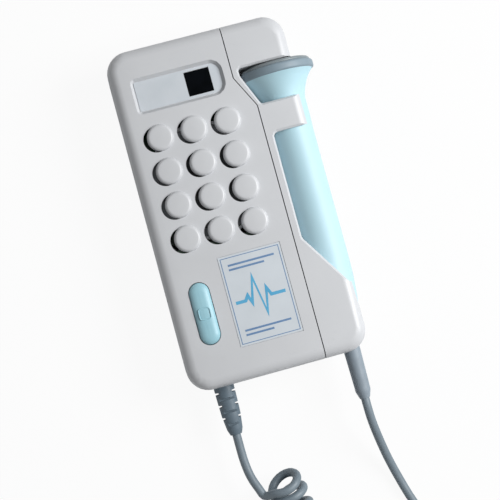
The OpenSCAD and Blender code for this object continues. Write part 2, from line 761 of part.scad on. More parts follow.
// --- battery, its connector and its door ---
module battery() {
  r = 2;
  w = battery_w / 2;
  t = battery_t;
  color([0.2, 0.22, 0.25]) translate([battery_x, battery_top_y, battery_z]) rotate([90, 0, 0])
    linear_extrude(battery_l) polygon(rounded([[-w, 0], [w, 0], [w, t], [-w, t]], [r, r, r, r]));
  color([0.8, 0.8, 0.78]) for (side = [-1, 1])
    translate([battery_x + side * 6.35, battery_top_y + stud_l, battery_z + t / 2]) rotate([90, 0, 0])
      cylinder(r = side < 0 ? 2.8 : 3.6, h = stud_l + 0.5);
}
module battery_snap() {
  color([0.08, 0.08, 0.09]) translate([battery_x, battery_top_y + stud_l - 1.6, battery_z + battery_t / 2])
    rotate([-90, 0, 0]) difference() {
      plate(snap_w, snap_l, snap_t);
      for (side = [-1, 1]) translate([side * 6.35, 0, -1]) cylinder(r = side < 0 ? 3 : 3.8, h = 2.8);
    }
}
module battery_door() {
  color([0.78, 0.79, 0.8]) difference() {
    union() {
      intersection() {
        case_form(0);
        translate([battery_x - door_w / 2, -case_top - 1, -1]) cube([door_w, door_l + 1, wall + 1]);
      }
      // Runner tongues at the foot and one tongue at the head end
      translate([battery_x - door_w / 2 - door_tongue, -case_top + wall, door_lip + 0.15])
        cube([door_w + 2 * door_tongue, door_runner_l - wall, wall - door_lip - 0.15]);
      translate([battery_x - door_w / 4, door_top_y - 1, door_lip + 0.15])
        cube([door_w / 2, door_tongue + 1, wall - door_lip - 0.15]);
    }
    // Thumb grip
    for (i = [0 : 5]) translate([battery_x, -case_top + 12 + 2 * i, -0.5])
      plate(14 - abs(i - 2.5) * 1.5, 0.9, 1);
  }
}

// --- fasteners ---
module pan_screw(head_r, head_t, r, l) {
  // Head down at z = 0, shank up
  difference() {
    union() {
      rotate_extrude()
        polygon([[0, 0], [head_r * 0.7, 0], [head_r, head_t * 0.5], [head_r, head_t], [0, head_t]]);
      cylinder(r = r, h = head_t + l);
    }
    for (a = [0, 90]) rotate(a) translate([0, 0, -0.1]) plate(head_r * 1.1, head_r * 0.28, head_t * 0.5);
  }
}
module case_screws() {
  color([0.7, 0.71, 0.72]) for (p = concat(cover_screws, holster_screws))
    translate([p[0], p[1], screw_sink]) pan_screw(screw_head_r, screw_head_t, screw_r, screw_l - 0.5);
}
module board_screws() {
  color([0.7, 0.71, 0.72]) {
    for (p = main_posts)
      translate([p[0], p[1], main_board_z + board_t + board_screw_head_t]) mirror([0, 0, 1])
      pan_screw(board_screw_head_r, board_screw_head_t, board_screw_r, 5);
    for (p = control_posts) translate([p[0], p[1], control_board_z - board_screw_head_t])
      pan_screw(board_screw_head_r, board_screw_head_t, board_screw_r, board_t + 1.8);
  }
}

// --- strain reliefs ---
module lead_relief() {
  color([0.38, 0.44, 0.48]) difference() {
    flange_y = -case_top + wall + 0.2;
    turned_at(lead_x, parting_z, [[0, -case_top - relief_l], [relief_end_r + 0.3, -case_top - relief_l],
      [relief_r - 0.9, -case_top - relief_l + 2.2], [relief_r - 0.2, -case_top - relief_l + 8],
      [relief_r, -case_top - relief_l + 14], [relief_r + 0.1, -case_top - 0.3],
      [relief_r - 0.4, -case_top - 0.3], [relief_r - 0.4, flange_y], [relief_flange_r, flange_y],
      [relief_flange_r, flange_y + relief_flange_t], [0, flange_y + relief_flange_t]]);
    // Slots on alternate sides let the relief bend
    for (i = [0 : 5], side = [-1, 1])
      translate([lead_x, -case_top - 3 - i * relief_slot_pitch, parting_z])
      rotate([0, (i % 2) * 90, 0]) translate([side * (relief_r + 0.6), 0, 0]) rotate([90, 0, 0])
        translate([0, 0, -relief_slot_t / 2]) translate([-2, -far / 2, 0]) cube([4, far, relief_slot_t]);
  }
}
module probe_relief() {
  end = -case_top - probe_relief_l;
  color([0.5, 0.56, 0.6]) turned_at(probe_x, probe_z, [[0, end], [relief_end_r, end],
    [relief_end_r + 0.5, end + 1.5], [probe_relief_r - 0.3, end + 3], [probe_relief_r, -case_top - 1],
    [probe_relief_r, foot_y - 0.15],
    [probe_relief_r - 0.4, foot_y - 0.15], [probe_relief_r - 0.4, foot_y + 2.6], [foot_r - 0.6, foot_y + 2.6],
    [foot_r - 0.6, foot_y + 4.4], [0, foot_y + 4.4]]);
}

// --- probe ---
module probe_handle() {
  outline = handle_outline(0);
  top = len(outline) - 1;
  color([0.64, 0.82, 0.88]) difference() {
    turned_at(probe_x, probe_z, concat([[0, foot_y], [foot_r - 1.2, foot_y], [foot_r, foot_y + 1]],
      [for (i = [1 : top]) outline[i]], [[0, neck_y]]));
    turned_at(probe_x, probe_z, concat(
      [[0, foot_y + 2.3], [foot_r - 0.4, foot_y + 2.3], [foot_r - 0.4, foot_y + 5]],
      [for (i = [2 : top]) outline[i] - [probe_wall, 0]],
      [[neck_r - probe_wall, neck_y + 1], [0, neck_y + 1]]));
    translate([probe_x, foot_y + 4, probe_z]) rotate([90, 0, 0]) cylinder(r = probe_relief_r - 0.35, h = far);
  }
}
module probe_cone() {
  outline = cone_outline(0);
  color([0.64, 0.82, 0.88]) turned_at(probe_x, probe_z, concat(
    [for (i = [0 : 5]) outline[5 - i] - [i == 5 || i == 0 ? probe_wall : probe_wall * 1.1, 0]], outline));
}
module probe_rim() {
  top = rim_y + rim_l;
  inner = head_r - 3.4;
  color([0.42, 0.49, 0.53]) turned_at(probe_x, probe_z, [[inner, rim_y], [head_r - 0.6, rim_y],
    [head_r, rim_y + 0.6], [head_r, top - 1], [head_r - 0.4, top - 0.3], [head_r - 1.2, top], [inner, top]]);
}
module probe_face() {
  top = rim_y + rim_l;
  color([0.5, 0.55, 0.57]) turned_at(probe_x, probe_z, [[0, top - 1.2], [head_r - 3.5, top - 1.2],
    [head_r - 3.5, top + eps], [head_r - 0.9, top + eps], [head_r - 1.1, top + 0.7], [head_r - 2, top + 1.3],
    [head_r - 5, top + 1.7], [0, top + 1.9]]);
}
module transducer_crystals() {
  // Sending and receiving halves, a slit apart
  color([0.75, 0.72, 0.62]) for (side = [-1, 1]) intersection() {
    turned_at(probe_x, probe_z, [[0, rim_y + 0.9], [head_r - 4.5, rim_y + 0.9], [head_r - 4.5, rim_y + 2.3],
      [0, rim_y + 2.3]]);
    translate([side > 0 ? probe_x + 0.5 : probe_x - 0.5 - far, rim_y - 1, probe_z - far / 2])
      cube([far, 10, far]);
  }
}
module transducer_backing() {
  color([0.3, 0.3, 0.3]) turned_at(probe_x, probe_z, [[0, rim_y - 1.6], [head_r - 5.5, rim_y - 1.6],
    [head_r - 3.6, rim_y + 0.2], [head_r - 3.6, rim_y + 0.8], [0, rim_y + 0.8]]);
}
module probe_board() {
  low = foot_y + probe_board_in;
  long = rim_y - 2 - low;
  wide = 2 * (handle_r - probe_wall) - 1.8;
  color([0.1, 0.4, 0.25]) translate([probe_x, low + long / 2, probe_z - board_t / 2])
    plate(wide, long, board_t);
  color([0.15, 0.15, 0.17]) for (part = [0.16, 0.39, 0.64])
    translate([probe_x, low + part * long, probe_z + board_t / 2])
      plate(probe_chip_w, probe_chip_w, probe_chip_t);
}

// --- the lead ---
// The tail from the case's strain relief to the curls, and the run from the probe to the curls
tail_route = [[-23.8, -90.5, 12], [-23.8, -95.5, 12], [-23.7, -101, 12], [-23.2, -106, 12.1], [-22.3, -110, 12.4],
  [-21.2, -113, 12.8]];
probe_route = [[30.2, -90, 16], [30.2, -94, 16], [30.6, -100, 14.6], [32, -108, 10.6],
  [34, -117, 6], [36.4, -126, 3.2], [39, -135, 2.4], [42.2, -144, 2.2], [44.8, -151, 2.2], [46, -155.5, 2.2]];
// The middle line of the coil: down from the view, round a bend and back to the probe's side
coil_route = [[-11.2, -113.4, 13.5], [-9.7, -117.5, 11.1], [-8.7, -122, 9.4], [-8.3, -127, 8.5],
  [-8.2, -133, 8.2], [-8.2, -145, 8.2], [-8.2, -157, 8.2], [-8.2, -170, 8.2], [-8.2, -183, 8.2],
  [-5.1, -194.5, 8.2], [3.3, -202.9, 8.2], [14.8, -206, 8.2], [26.3, -202.9, 8.2], [34.7, -194.5, 8.2],
  [37.8, -183, 8.2], [37.8, -173, 8.2], [37.8, -163, 8.2]];
rings_per_curl = 8;
curl_sides = 6;
tail_sides = 8;
first_curl_angle = -45;
last_curl_part = 0.625;
// Hairline between the curled piece and the straight pieces at its ends
butt_gap = 0.15;

// A smooth curve through every point, n steps from each to the next
function smooth_span(a, b, c, d, t) =
  0.5 * ((2 * b) + (c - a) * t + (2 * a - 5 * b + 4 * c - d) * t * t + (3 * b - a - 3 * c + d) * t * t * t);
function smooth(points, n) =
  let (m = len(points))
  concat([for (i = [0 : m - 2], k = [0 : n - 1])
    smooth_span(i == 0 ? 2 * points[0] - points[1] : points[i - 1], points[i], points[i + 1],
      i == m - 2 ? 2 * points[m - 1] - points[m - 2] : points[i + 2], k / n)], [points[m - 1]]);
function middle(p, i) = unit(p[min(i + 1, len(p) - 1)] - p[max(i - 1, 0)]);
// Sideways directions carried along the path without twisting
function carried(p) = [for (
  i = 0, t = middle(p, 0), n = unit(cross(t, abs(t[2]) < 0.9 ? [0, 0, 1] : [1, 0, 0]));
  i < len(p); i = i + 1, t = middle(p, min(i, len(p) - 1)), n = unit(n - (n * t) * t)) n];
module tube(path, r, sides) {
  side = carried(path);
  n = len(path);
  points = [for (i = [0 : n - 1]) let (t = middle(path, i), a = side[i], b = cross(t, a))
    for (k = [0 : sides - 1]) path[i] + r * (cos(k * 360 / sides) * a + sin(k * 360 / sides) * b)];
  walls = [for (i = [0 : n - 2], k = [0 : sides - 1]) let (a = i * sides + k, b = i * sides + (k + 1) % sides)
    each [[a, a + sides, b], [b, a + sides, b + sides]]];
  last = (n - 1) * sides;
  caps = [for (k = [1 : sides - 2]) each [[0, k, k + 1], [last, last + k + 1, last + k]]];
  polyhedron(points, concat(walls, caps), convexity = 10);
}

// The coil: the pitch opens in a bend, so that the curls keep their distance on its inner side
axis_line = smooth(coil_route, 12);
axis_last = len(axis_line) - 1;
function bend_at(i) = let (a = middle(axis_line, max(i - 1, 0)), b = middle(axis_line, min(i + 1, axis_last)))
  norm(b - a) / norm(axis_line[min(i + 1, axis_last)] - axis_line[max(i - 1, 0)]);
function curls_per_mm(i) = (1 - curl_r * bend_at(i)) / curl_pitch;
function curls_after(i) = i < axis_last ? norm(axis_line[i + 1] - axis_line[i]) * curls_per_mm(i) : 0;
curls_by_place = [for (i = 0, sum = 0; i <= axis_last; sum = sum + curls_after(i), i = i + 1) [sum, i]];
curl_count = floor(curls_by_place[axis_last][0] - last_curl_part) + last_curl_part;
function curl_point(turns) =
  let (place = lookup(turns, curls_by_place), i = min(floor(place), axis_last - 1), f = place - i)
  let (centre = between(axis_line[i], axis_line[i + 1], f))
  let (t = unit(between(middle(axis_line, i), middle(axis_line, i + 1), f)))
  let (up = unit([0, 0, 1] - t[2] * t), across = cross(up, t), a = first_curl_angle + turns * 360)
  centre + curl_r * (cos(a) * up + sin(a) * across);
function joining(a, da, b, db, n) =
  [for (i = [1 : n]) let (t = i / (n + 1), reach = norm(b - a) * 1.1)
    (2 * t * t * t - 3 * t * t + 1) * a + (t * t * t - 2 * t * t + t) * reach * da
    + (3 * t * t - 2 * t * t * t) * b + (t * t * t - t * t) * reach * db];
curl_step = 1 / rings_per_curl;
helix = [for (i = [0 : curl_count * rings_per_curl]) curl_point(i * curl_step)];
helix_last = len(helix) - 1;
tail_end = tail_route[len(tail_route) - 1];
tail_way = unit(tail_end - tail_route[len(tail_route) - 2]);
probe_end = probe_route[len(probe_route) - 1];
probe_way = unit(probe_end - probe_route[len(probe_route) - 2]);
helix_way_in = unit(curl_point(0.02) - helix[0]);
helix_way_out = unit(helix[helix_last] - curl_point(curl_count - 0.02));
tail_join = tail_end + tail_way * lead_d;
probe_join = probe_end + probe_way * lead_d;
curly_line = concat([tail_end + tail_way * butt_gap, tail_join],
  joining(tail_join, tail_way, helix[0], helix_way_in, 2), helix,
  joining(helix[helix_last], helix_way_out, probe_join, -probe_way, 3),
  [probe_join, probe_end + probe_way * butt_gap]);
function sum_of(v, i = 0) = i < len(v) ? v[i] + sum_of(v, i + 1) : 0;
function run_length(p) = sum_of([for (i = [1 : len(p) - 1]) norm(p[i] - p[i - 1])]);
function nearest(p, i, skip) = min([for (j = [i + skip : len(p) - 1]) norm(p[i] - p[j])]);
function nearest_gap(p, skip) = min([for (i = [0 : len(p) - 1 - skip]) nearest(p, i, skip)]) - lead_d;
echo(least_gap_of_the_curls_mm = nearest_gap(curly_line, 5), curls = curl_count);
echo(curled_lead_mm = run_length(curly_line), whole_lead_mm = run_length(curly_line)
  + run_length(smooth(tail_route, 2)) + run_length(smooth(probe_route, 2)));
echo(lowest_point_of_the_curls_mm = min([for (p = curly_line) p[2]]) - lead_d / 2);

module lead_tail() {
  color([0.4, 0.46, 0.5]) tube(smooth(tail_route, 2), lead_d / 2, tail_sides);
}
module lead_curly() {
  color([0.4, 0.46, 0.5]) tube(curly_line, lead_d / 2, curl_sides);
}
module probe_lead() {
  color([0.4, 0.46, 0.5]) tube(smooth(probe_route, 2), lead_d / 2, tail_sides);
}
module inner_lead() {
  // Inside the case the lead climbs from its strain relief to the control board
  start = -case_top + wall + 0.4 + relief_flange_t;
  route = [[lead_x, start, parting_z], [lead_x, start + 3, parting_z], [lead_x, start + 6, parting_z + 1.6],
    [lead_x, start + 8.6, control_board_z - 4], [lead_x, start + 9, control_board_z - 2],
    [lead_x, start + 9, control_board_z - 0.25]];
  color([0.4, 0.46, 0.5]) tube(smooth(route, 2), lead_d / 2, tail_sides);
}

front_cover();
rear_case();
probe_holster();
display_plate();
display_window();
display_module();
label_plate();
power_button();
switch_plunger();
switch_body();
control_board();
main_board();
board_link();
speaker_gasket();
speaker_basket();
speaker_cone();
speaker_magnet();
volume_wheel();
volume_pot();
headphone_jack();
battery();
battery_snap();
battery_door();
case_screws();
board_screws();
lead_relief();
inner_lead();
lead_tail();
lead_curly();
probe_lead();
probe_relief();
probe_handle();
probe_cone();
probe_rim();
probe_face();
transducer_crystals();
transducer_backing();
probe_board();
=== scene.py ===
"""Looks of a pocket fetal doppler: moulded case, loudspeaker grille, holstered probe and curled lead."""
import json
import math

import bmesh
import bpy
import numpy as np
from mathutils import Matrix, Vector


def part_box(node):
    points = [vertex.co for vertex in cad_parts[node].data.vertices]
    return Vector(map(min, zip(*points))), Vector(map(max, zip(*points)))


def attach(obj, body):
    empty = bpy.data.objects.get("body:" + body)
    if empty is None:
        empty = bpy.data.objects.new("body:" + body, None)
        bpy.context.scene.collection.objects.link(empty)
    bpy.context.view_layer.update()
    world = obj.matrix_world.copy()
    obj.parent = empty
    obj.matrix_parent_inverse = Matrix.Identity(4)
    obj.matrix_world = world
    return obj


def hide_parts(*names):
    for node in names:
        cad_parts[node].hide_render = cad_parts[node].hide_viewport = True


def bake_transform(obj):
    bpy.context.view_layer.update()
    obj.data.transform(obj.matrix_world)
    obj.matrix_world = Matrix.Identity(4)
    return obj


bl_info = {
    "name": "Pocket doppler looks",
    "version": (1, 0, 0),
    "blender": (4, 5, 0),
    "location": "View3D > Sidebar > Doppler",
    "description": "Builds the finished surfaces of a pocket fetal doppler round its CAD frame",
    "category": "Object",
}

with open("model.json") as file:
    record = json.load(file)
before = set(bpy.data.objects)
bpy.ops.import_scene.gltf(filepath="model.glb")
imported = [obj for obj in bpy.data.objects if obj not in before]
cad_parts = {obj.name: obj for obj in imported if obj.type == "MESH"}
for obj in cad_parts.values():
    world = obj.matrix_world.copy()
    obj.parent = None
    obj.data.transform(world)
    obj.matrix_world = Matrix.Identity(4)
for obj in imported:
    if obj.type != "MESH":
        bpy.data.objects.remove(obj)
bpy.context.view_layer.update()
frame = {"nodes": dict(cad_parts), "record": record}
MM = 0.001
MM_PER_M = 1000.0

# ---------------------------------------------------------------- meshes and pieces


def unit(v):
    """Each vector of the last axis at length one."""
    return v / np.linalg.norm(v, axis=-1, keepdims=True)


def box_mm(node):
    """A CAD node's lowest and highest corner in mm."""
    return [np.array(corner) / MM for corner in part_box(node)]


def new_piece(name, mesh, material, body, replaced=()):
    """Links a finished mesh as a piece that rides on body, and hides the CAD nodes that it stands for."""
    piece = bpy.data.objects.new(name, mesh)
    bpy.context.scene.collection.objects.link(piece)
    mesh.materials.clear()
    mesh.materials.append(material)
    if replaced:
        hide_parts(*replaced)
    if body:
        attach(piece, body)
    return piece


def grid_faces(rows, columns, wrap_rows=False, cap_first=False, cap_last=False):
    """Faces over a grid whose columns close into a ring: one a cell, and a cap on the first or last row."""
    index = np.arange(rows * columns).reshape(rows, columns)
    if wrap_rows:
        index = np.vstack([index, index[:1]])
    index = np.hstack([index, index[:, :1]])
    quads = np.stack([index[:-1, :-1], index[:-1, 1:], index[1:, 1:], index[1:, :-1]], axis=-1)
    faces = quads.reshape(-1, 4).tolist()
    if cap_first:
        faces.append(index[0, :columns][::-1].tolist())
    if cap_last:
        faces.append(index[rows - 1, :columns].tolist())
    return faces


def grids_mesh(name, grids):
    """Mesh over (rows, columns, 3) grids in mm, each with its own wraps and caps, shaded smooth."""
    points, faces, start = [], [], 0
    for grid, ends in grids:
        rows, columns = grid.shape[:2]
        faces += [[start + i for i in face] for face in grid_faces(rows, columns, **ends)]
        points.append(grid.reshape(-1, 3))
        start += rows * columns
    mesh = bpy.data.meshes.new(name)
    mesh.from_pydata((np.vstack(points) * MM).tolist(), [], faces)
    mesh.shade_smooth()
    mesh.update()
    return mesh


def grid_mesh(name, grid, **ends):
    """Mesh over a single grid."""
    return grids_mesh(name, [(grid, ends)])


def mark_sharp(work, degrees):
    """An edge shades smooth where its two faces meet at less than the given angle."""
    limit = math.radians(degrees)
    for edge in work.edges:
        edge.smooth = len(edge.link_faces) == 2 and edge.calc_face_angle(0.0) < limit


def outward(mesh, sharp_degrees=None):
    """Merges doubled points, turns the faces outwards and marks the edges sharper than sharp_degrees."""
    work = bmesh.new()
    work.from_mesh(mesh)
    bmesh.ops.remove_doubles(work, verts=work.verts, dist=1e-7)
    bmesh.ops.recalc_face_normals(work, faces=work.faces)
    if sharp_degrees is not None:
        mark_sharp(work, sharp_degrees)
    work.to_mesh(mesh)
    work.free()
    return mesh


def smooth_copy(node, sharp_degrees=24.0):
    """A merged copy of a CAD node's mesh, shaded smooth but for the edges sharper than sharp_degrees."""
    mesh = frame["nodes"][node].data.copy()
    mesh.name = node + "_surface"
    work = bmesh.new()
    work.from_mesh(mesh)
    bmesh.ops.remove_doubles(work, verts=work.verts, dist=2e-6)
    mark_sharp(work, sharp_degrees)
    for face in work.faces:
        face.smooth = True
    work.to_mesh(mesh)
    work.free()
    if mesh.attributes.get("custom_normal"):
        mesh.attributes.remove(mesh.attributes["custom_normal"])
    return mesh


def weigh_normals(piece):
    """Large flat faces keep their own normal, so that only the rounded edges shade as curves."""
    weighted = piece.modifiers.new("Weighted normals", "WEIGHTED_NORMAL")
    weighted.keep_sharp = True
    weighted.weight = 90


# ---------------------------------------------------------------- curves


def turned(outline, centre, steps):
    """Surface of revolution: each (radius, height) of the outline goes round an axis along Y through centre.

    x = centre x + radius cos(turn), y = centre y + height, z = centre z + radius sin(turn)
    """
    outline = np.asarray(outline, float)
    turn = np.linspace(0.0, 2.0 * np.pi, steps, endpoint=False)
    radius, height = outline[:, :1], outline[:, 1:]
    x = centre[0] + radius * np.cos(turn)
    z = centre[2] + radius * np.sin(turn)
    y = centre[1] + height + 0.0 * turn
    return np.stack([x, y, z], axis=-1)


def eased_outline(points, steps=8):
    """Smooth curve through the points, with steps points from each to the next.

    Between b and c, with a before and d after them, it is the even Catmull-Rom cubic:
    (2b + (c - a) t + (2a - 5b + 4c - d) t^2 + (3b - a - 3c + d) t^3) / 2 for t from 0 to 1
    """
    p = np.asarray(points, float)
    p = np.vstack([2 * p[0] - p[1], p, 2 * p[-1] - p[-2]])
    t = np.linspace(0, 1, steps, endpoint=False)[:, None]
    out = []
    for i in range(1, len(p) - 2):
        a, b, c, d = p[i - 1:i + 3]
        square, cube = 2 * a - 5 * b + 4 * c - d, 3 * b - a - 3 * c + d
        out.append(0.5 * (2 * b + (c - a) * t + square * t ** 2 + cube * t ** 3))
    return np.vstack(out + [p[-2:-1]])


def arc_points(centre, radius, start, end, steps):
    """Points on an arc in the outline's plane, from start to end degrees."""
    turn = np.radians(np.linspace(start, end, steps))
    return np.stack([centre[0] + radius * np.cos(turn), centre[1] + radius * np.sin(turn)], axis=-1)


# ---------------------------------------------------------------- the lead's route, as in the part's source

LEAD_D = 3.5
CURL_R = 6.3
CURL_PITCH = 4.2
FIRST_CURL_DEGREES = -45.0
LAST_CURL_PART = 0.625
RINGS_PER_CURL = 24
LEAD_SIDES = 14
ROUTE_STEPS = 4
COIL_STEPS = 12
TAIL_JOIN_STEPS = 5
PROBE_JOIN_STEPS = 7
TAIL_ROUTE = [(-23.8, -90.5, 12), (-23.8, -95.5, 12), (-23.7, -101, 12), (-23.2, -106, 12.1),
              (-22.3, -110, 12.4), (-21.2, -113, 12.8)]
PROBE_ROUTE = [(30.2, -90, 16), (30.2, -94, 16), (30.6, -100, 14.6), (32, -108, 10.6), (34, -117, 6),
               (36.4, -126, 3.2), (39, -135, 2.4), (42.2, -144, 2.2), (44.8, -151, 2.2), (46, -155.5, 2.2)]
COIL_ROUTE = [(-11.2, -113.4, 13.5), (-9.7, -117.5, 11.1), (-8.7, -122, 9.4), (-8.3, -127, 8.5),
              (-8.2, -133, 8.2), (-8.2, -145, 8.2), (-8.2, -157, 8.2), (-8.2, -170, 8.2), (-8.2, -183, 8.2),
              (-5.1, -194.5, 8.2), (3.3, -202.9, 8.2), (14.8, -206, 8.2), (26.3, -202.9, 8.2),
              (34.7, -194.5, 8.2), (37.8, -183, 8.2), (37.8, -173, 8.2), (37.8, -163, 8.2)]


def middle_directions(points):
    """Direction at each point: from the one before to the one after."""
    ahead = np.vstack([points[1:], points[-1:]])
    behind = np.vstack([points[:1], points[:-1]])
    return unit(ahead - behind)


def joining(a, da, b, db, steps):
    """Hermite cubic from a to b with directions da and db, without its ends.

    (2t^3 - 3t^2 + 1) a + (t^3 - 2t^2 + t) reach da + (3t^2 - 2t^3) b + (t^3 - t^2) reach db, where
    reach is a tenth more than the distance from a to b
    """
    t = (np.arange(1, steps + 1) / (steps + 1))[:, None]
    reach = np.linalg.norm(b - a) * 1.1
    return ((2 * t ** 3 - 3 * t ** 2 + 1) * a + (t ** 3 - 2 * t ** 2 + t) * reach * da
            + (3 * t ** 2 - 2 * t ** 3) * b + (t ** 3 - t ** 2) * reach * db)


def coil_line():
    """The helix round the coil's middle line, and its directions at both ends.

    point = middle line + CURL_R (cos(angle) up + sin(angle) across), where the angle gains a full turn
    for each CURL_PITCH along the inside of the bend
    """
    axis = eased_outline(COIL_ROUTE, COIL_STEPS)
    ways = middle_directions(axis)
    ahead, behind = np.vstack([ways[1:], ways[-1:]]), np.vstack([ways[:1], ways[:-1]])
    turning = np.linalg.norm(ahead - behind, axis=1)
    span = np.linalg.norm(np.vstack([axis[1:], axis[-1:]]) - np.vstack([axis[:1], axis[:-1]]), axis=1)
    step = np.linalg.norm(np.diff(axis, axis=0), axis=1)
    per_mm = (1 - CURL_R * turning / span) / CURL_PITCH
    by_place = np.concatenate([[0.0], np.cumsum(step * per_mm[:-1])])
    count = math.floor(by_place[-1] - LAST_CURL_PART) + LAST_CURL_PART

    def place_at(turns):
        """Points of the helix after so many turns."""
        place = np.interp(turns, by_place, np.arange(len(axis)))
        i = np.minimum(np.floor(place).astype(int), len(axis) - 2)
        f = (place - i)[:, None]
        centre = axis[i] * (1 - f) + axis[i + 1] * f
        way = unit(ways[i] * (1 - f) + ways[i + 1] * f)
        up = unit(np.array([0.0, 0.0, 1.0]) - way[:, 2:] * way)
        across = np.cross(up, way)
        angle = np.radians(FIRST_CURL_DEGREES + turns * 360.0)[:, None]
        return centre + CURL_R * (np.cos(angle) * up + np.sin(angle) * across)

    helix = place_at(np.linspace(0.0, count, int(round(count * RINGS_PER_CURL)) + 1))
    small = 0.02
    way_in = unit(place_at(np.array([small])) - helix[:1])[0]
    way_out = unit(helix[-1:] - place_at(np.array([count - small])))[0]
    return helix, way_in, way_out


def lead_paths():
    """Path from the case's relief through the curls to the probe's run, and the probe's run itself."""
    tail = eased_outline(TAIL_ROUTE, ROUTE_STEPS)
    probe_run = eased_outline(PROBE_ROUTE, ROUTE_STEPS)
    helix, way_in, way_out = coil_line()
    tail_way = unit(tail[-1] - np.array(TAIL_ROUTE[-2], float))
    probe_way = unit(np.array(PROBE_ROUTE[-1], float) - np.array(PROBE_ROUTE[-2], float))
    tail_join = tail[-1] + tail_way * LEAD_D
    probe_join = probe_run[-1] + probe_way * LEAD_D
    curled = np.vstack([
        tail, tail_join[None], joining(tail_join, tail_way, helix[0], way_in, TAIL_JOIN_STEPS), helix,
        joining(helix[-1], way_out, probe_join, -probe_way, PROBE_JOIN_STEPS), probe_join[None],
        probe_run[-1:]])
    return curled, probe_run


def swept_tube(name, path, radius):
    """Round tube: at each point of the path a ring of radius (cos(turn) side + sin(turn) other).

    Each ring's side is the last ring's, kept square to the path, and other is square to both.
    """
    ways = middle_directions(path)
    side = np.zeros_like(path)
    across = unit(np.cross(ways[0], [0.0, 0.0, 1.0]))
    for i, way in enumerate(ways):
        across = unit(across - np.dot(across, way) * way)
        side[i] = across
    other = np.cross(ways, side)
    turn = np.linspace(0.0, 2.0 * np.pi, LEAD_SIDES, endpoint=False)
    ring = (np.cos(turn)[None, :, None] * side[:, None] + np.sin(turn)[None, :, None] * other[:, None])
    mesh = grid_mesh(name, path[:, None] + radius * ring, cap_first=True, cap_last=True)
    return outward(mesh, sharp_degrees=60)


# ---------------------------------------------------------------- materials


def add_node(tree, kind, inputs=None, **settings):
    """Adds one shader node with its settings; an input is a value or the socket that feeds it."""
    node = tree.nodes.new(kind)
    for name, value in settings.items():
        setattr(node, name, value)
    for socket, value in (inputs or {}).items():
        if isinstance(value, bpy.types.NodeSocket):
            tree.links.new(value, node.inputs[socket])
        else:
            node.inputs[socket].default_value = value
    return node


def linear(hex_text):
    """sRGB hex to linear RGBA: c / 12.92 up to 0.04045, else ((c + 0.055) / 1.055) to the power 2.4."""
    c = np.array([int(hex_text[i:i + 2], 16) for i in (1, 3, 5)]) / 255.0
    lin = np.where(c <= 0.04045, c / 12.92, ((c + 0.055) / 1.055) ** 2.4)
    return (*[float(x) for x in lin], 1.0)


def new_material(name):
    """An empty node material and its tree."""
    material = bpy.data.materials.get(name) or bpy.data.materials.new(name)
    material.use_nodes = True
    material.node_tree.nodes.clear()
    return material, material.node_tree


def grain_bump(tree, coords, size_mm, height_mm, strength):
    """Noise relief whose bumps are size_mm apart: the texture's scale is one over that size in metres."""
    grain = add_node(tree, "ShaderNodeTexNoise",
                     {"Vector": coords, "Scale": MM_PER_M / size_mm, "Detail": 2.0})
    bump = add_node(tree, "ShaderNodeBump",
                    {"Height": grain.outputs["Fac"], "Strength": strength, "Distance": height_mm * MM})
    return bump.outputs[0]


def mottled(tree, coords, low_hex, high_hex, size_mm):
    """Colour that drifts between two close shades over patches of size_mm."""
    cloud = add_node(tree, "ShaderNodeTexNoise",
                     {"Vector": coords, "Scale": MM_PER_M / size_mm, "Detail": 3.0})
    ramp = add_node(tree, "ShaderNodeValToRGB", {"Fac": cloud.outputs["Fac"]})
    # The noise lies mostly between these two values, which get the two shades in full
    for element, value, tone in zip(ramp.color_ramp.elements, (0.35, 0.65), (low_hex, high_hex)):
        element.position = value
        element.color = linear(tone)
    return ramp.outputs["Color"]


def varied_roughness(tree, coords, low, high, size_mm):
    """Roughness that drifts between low and high over patches of size_mm, as handling leaves it."""
    cloud = add_node(tree, "ShaderNodeTexNoise",
                     {"Vector": coords, "Scale": MM_PER_M / size_mm, "Detail": 3.0})
    spread = add_node(tree, "ShaderNodeMapRange", {"Value": cloud.outputs["Fac"], "From Min": 0.3,
                                                   "From Max": 0.7, "To Min": low, "To Max": high})
    return spread.outputs["Result"]


def finish(name, colour, roughness, grain=None, **sockets):
    """One material on Object coordinates.

    colour is a hex, or (darker hex, lighter hex, size of the patches in mm); roughness is a number, or
    (lowest, highest, size of the patches in mm); grain is (bumps apart in mm, height in mm, strength),
    and a polished face has none; sockets are further values of the shader, with _ for a space.
    """
    material, tree = new_material(name)
    coords = add_node(tree, "ShaderNodeTexCoord").outputs["Object"]
    inputs = {socket.replace("_", " "): value for socket, value in sockets.items()}
    one_colour, one_roughness = isinstance(colour, str), isinstance(roughness, float)
    inputs["Base Color"] = linear(colour) if one_colour else mottled(tree, coords, *colour)
    inputs["Roughness"] = roughness if one_roughness else varied_roughness(tree, coords, *roughness)
    if grain:
        inputs["Normal"] = grain_bump(tree, coords, *grain)
    shader = add_node(tree, "ShaderNodeBsdfPrincipled", inputs)
    add_node(tree, "ShaderNodeOutputMaterial", {"Surface": shader.outputs[0]})
    return material


def moulded(name, low_hex, high_hex, rough, grain_mm, relief_mm, patch_mm, ior=1.5):
    """A moulded, cast or pressed surface: close shades, drifting roughness and the tool's fine grain."""
    rough_patch_mm = patch_mm * 0.7
    return finish(name, (low_hex, high_hex, patch_mm), (*rough, rough_patch_mm),
                  (grain_mm, relief_mm, 0.4), IOR=ior)


def film(name, low_hex, high_hex):
    """Polyester film with a matt face: even colour under a soft sheen."""
    return finish(name, (low_hex, high_hex, 9.0), 0.35, (0.5, 0.006, 0.3), IOR=1.5)


def metal(name, base_hex):
    """Rolled or plated metal: a soft gleam, broken up by fine marks."""
    return finish(name, base_hex, (0.25, 0.4, 2.0), (0.25, 0.004, 0.3), Metallic=1.0)


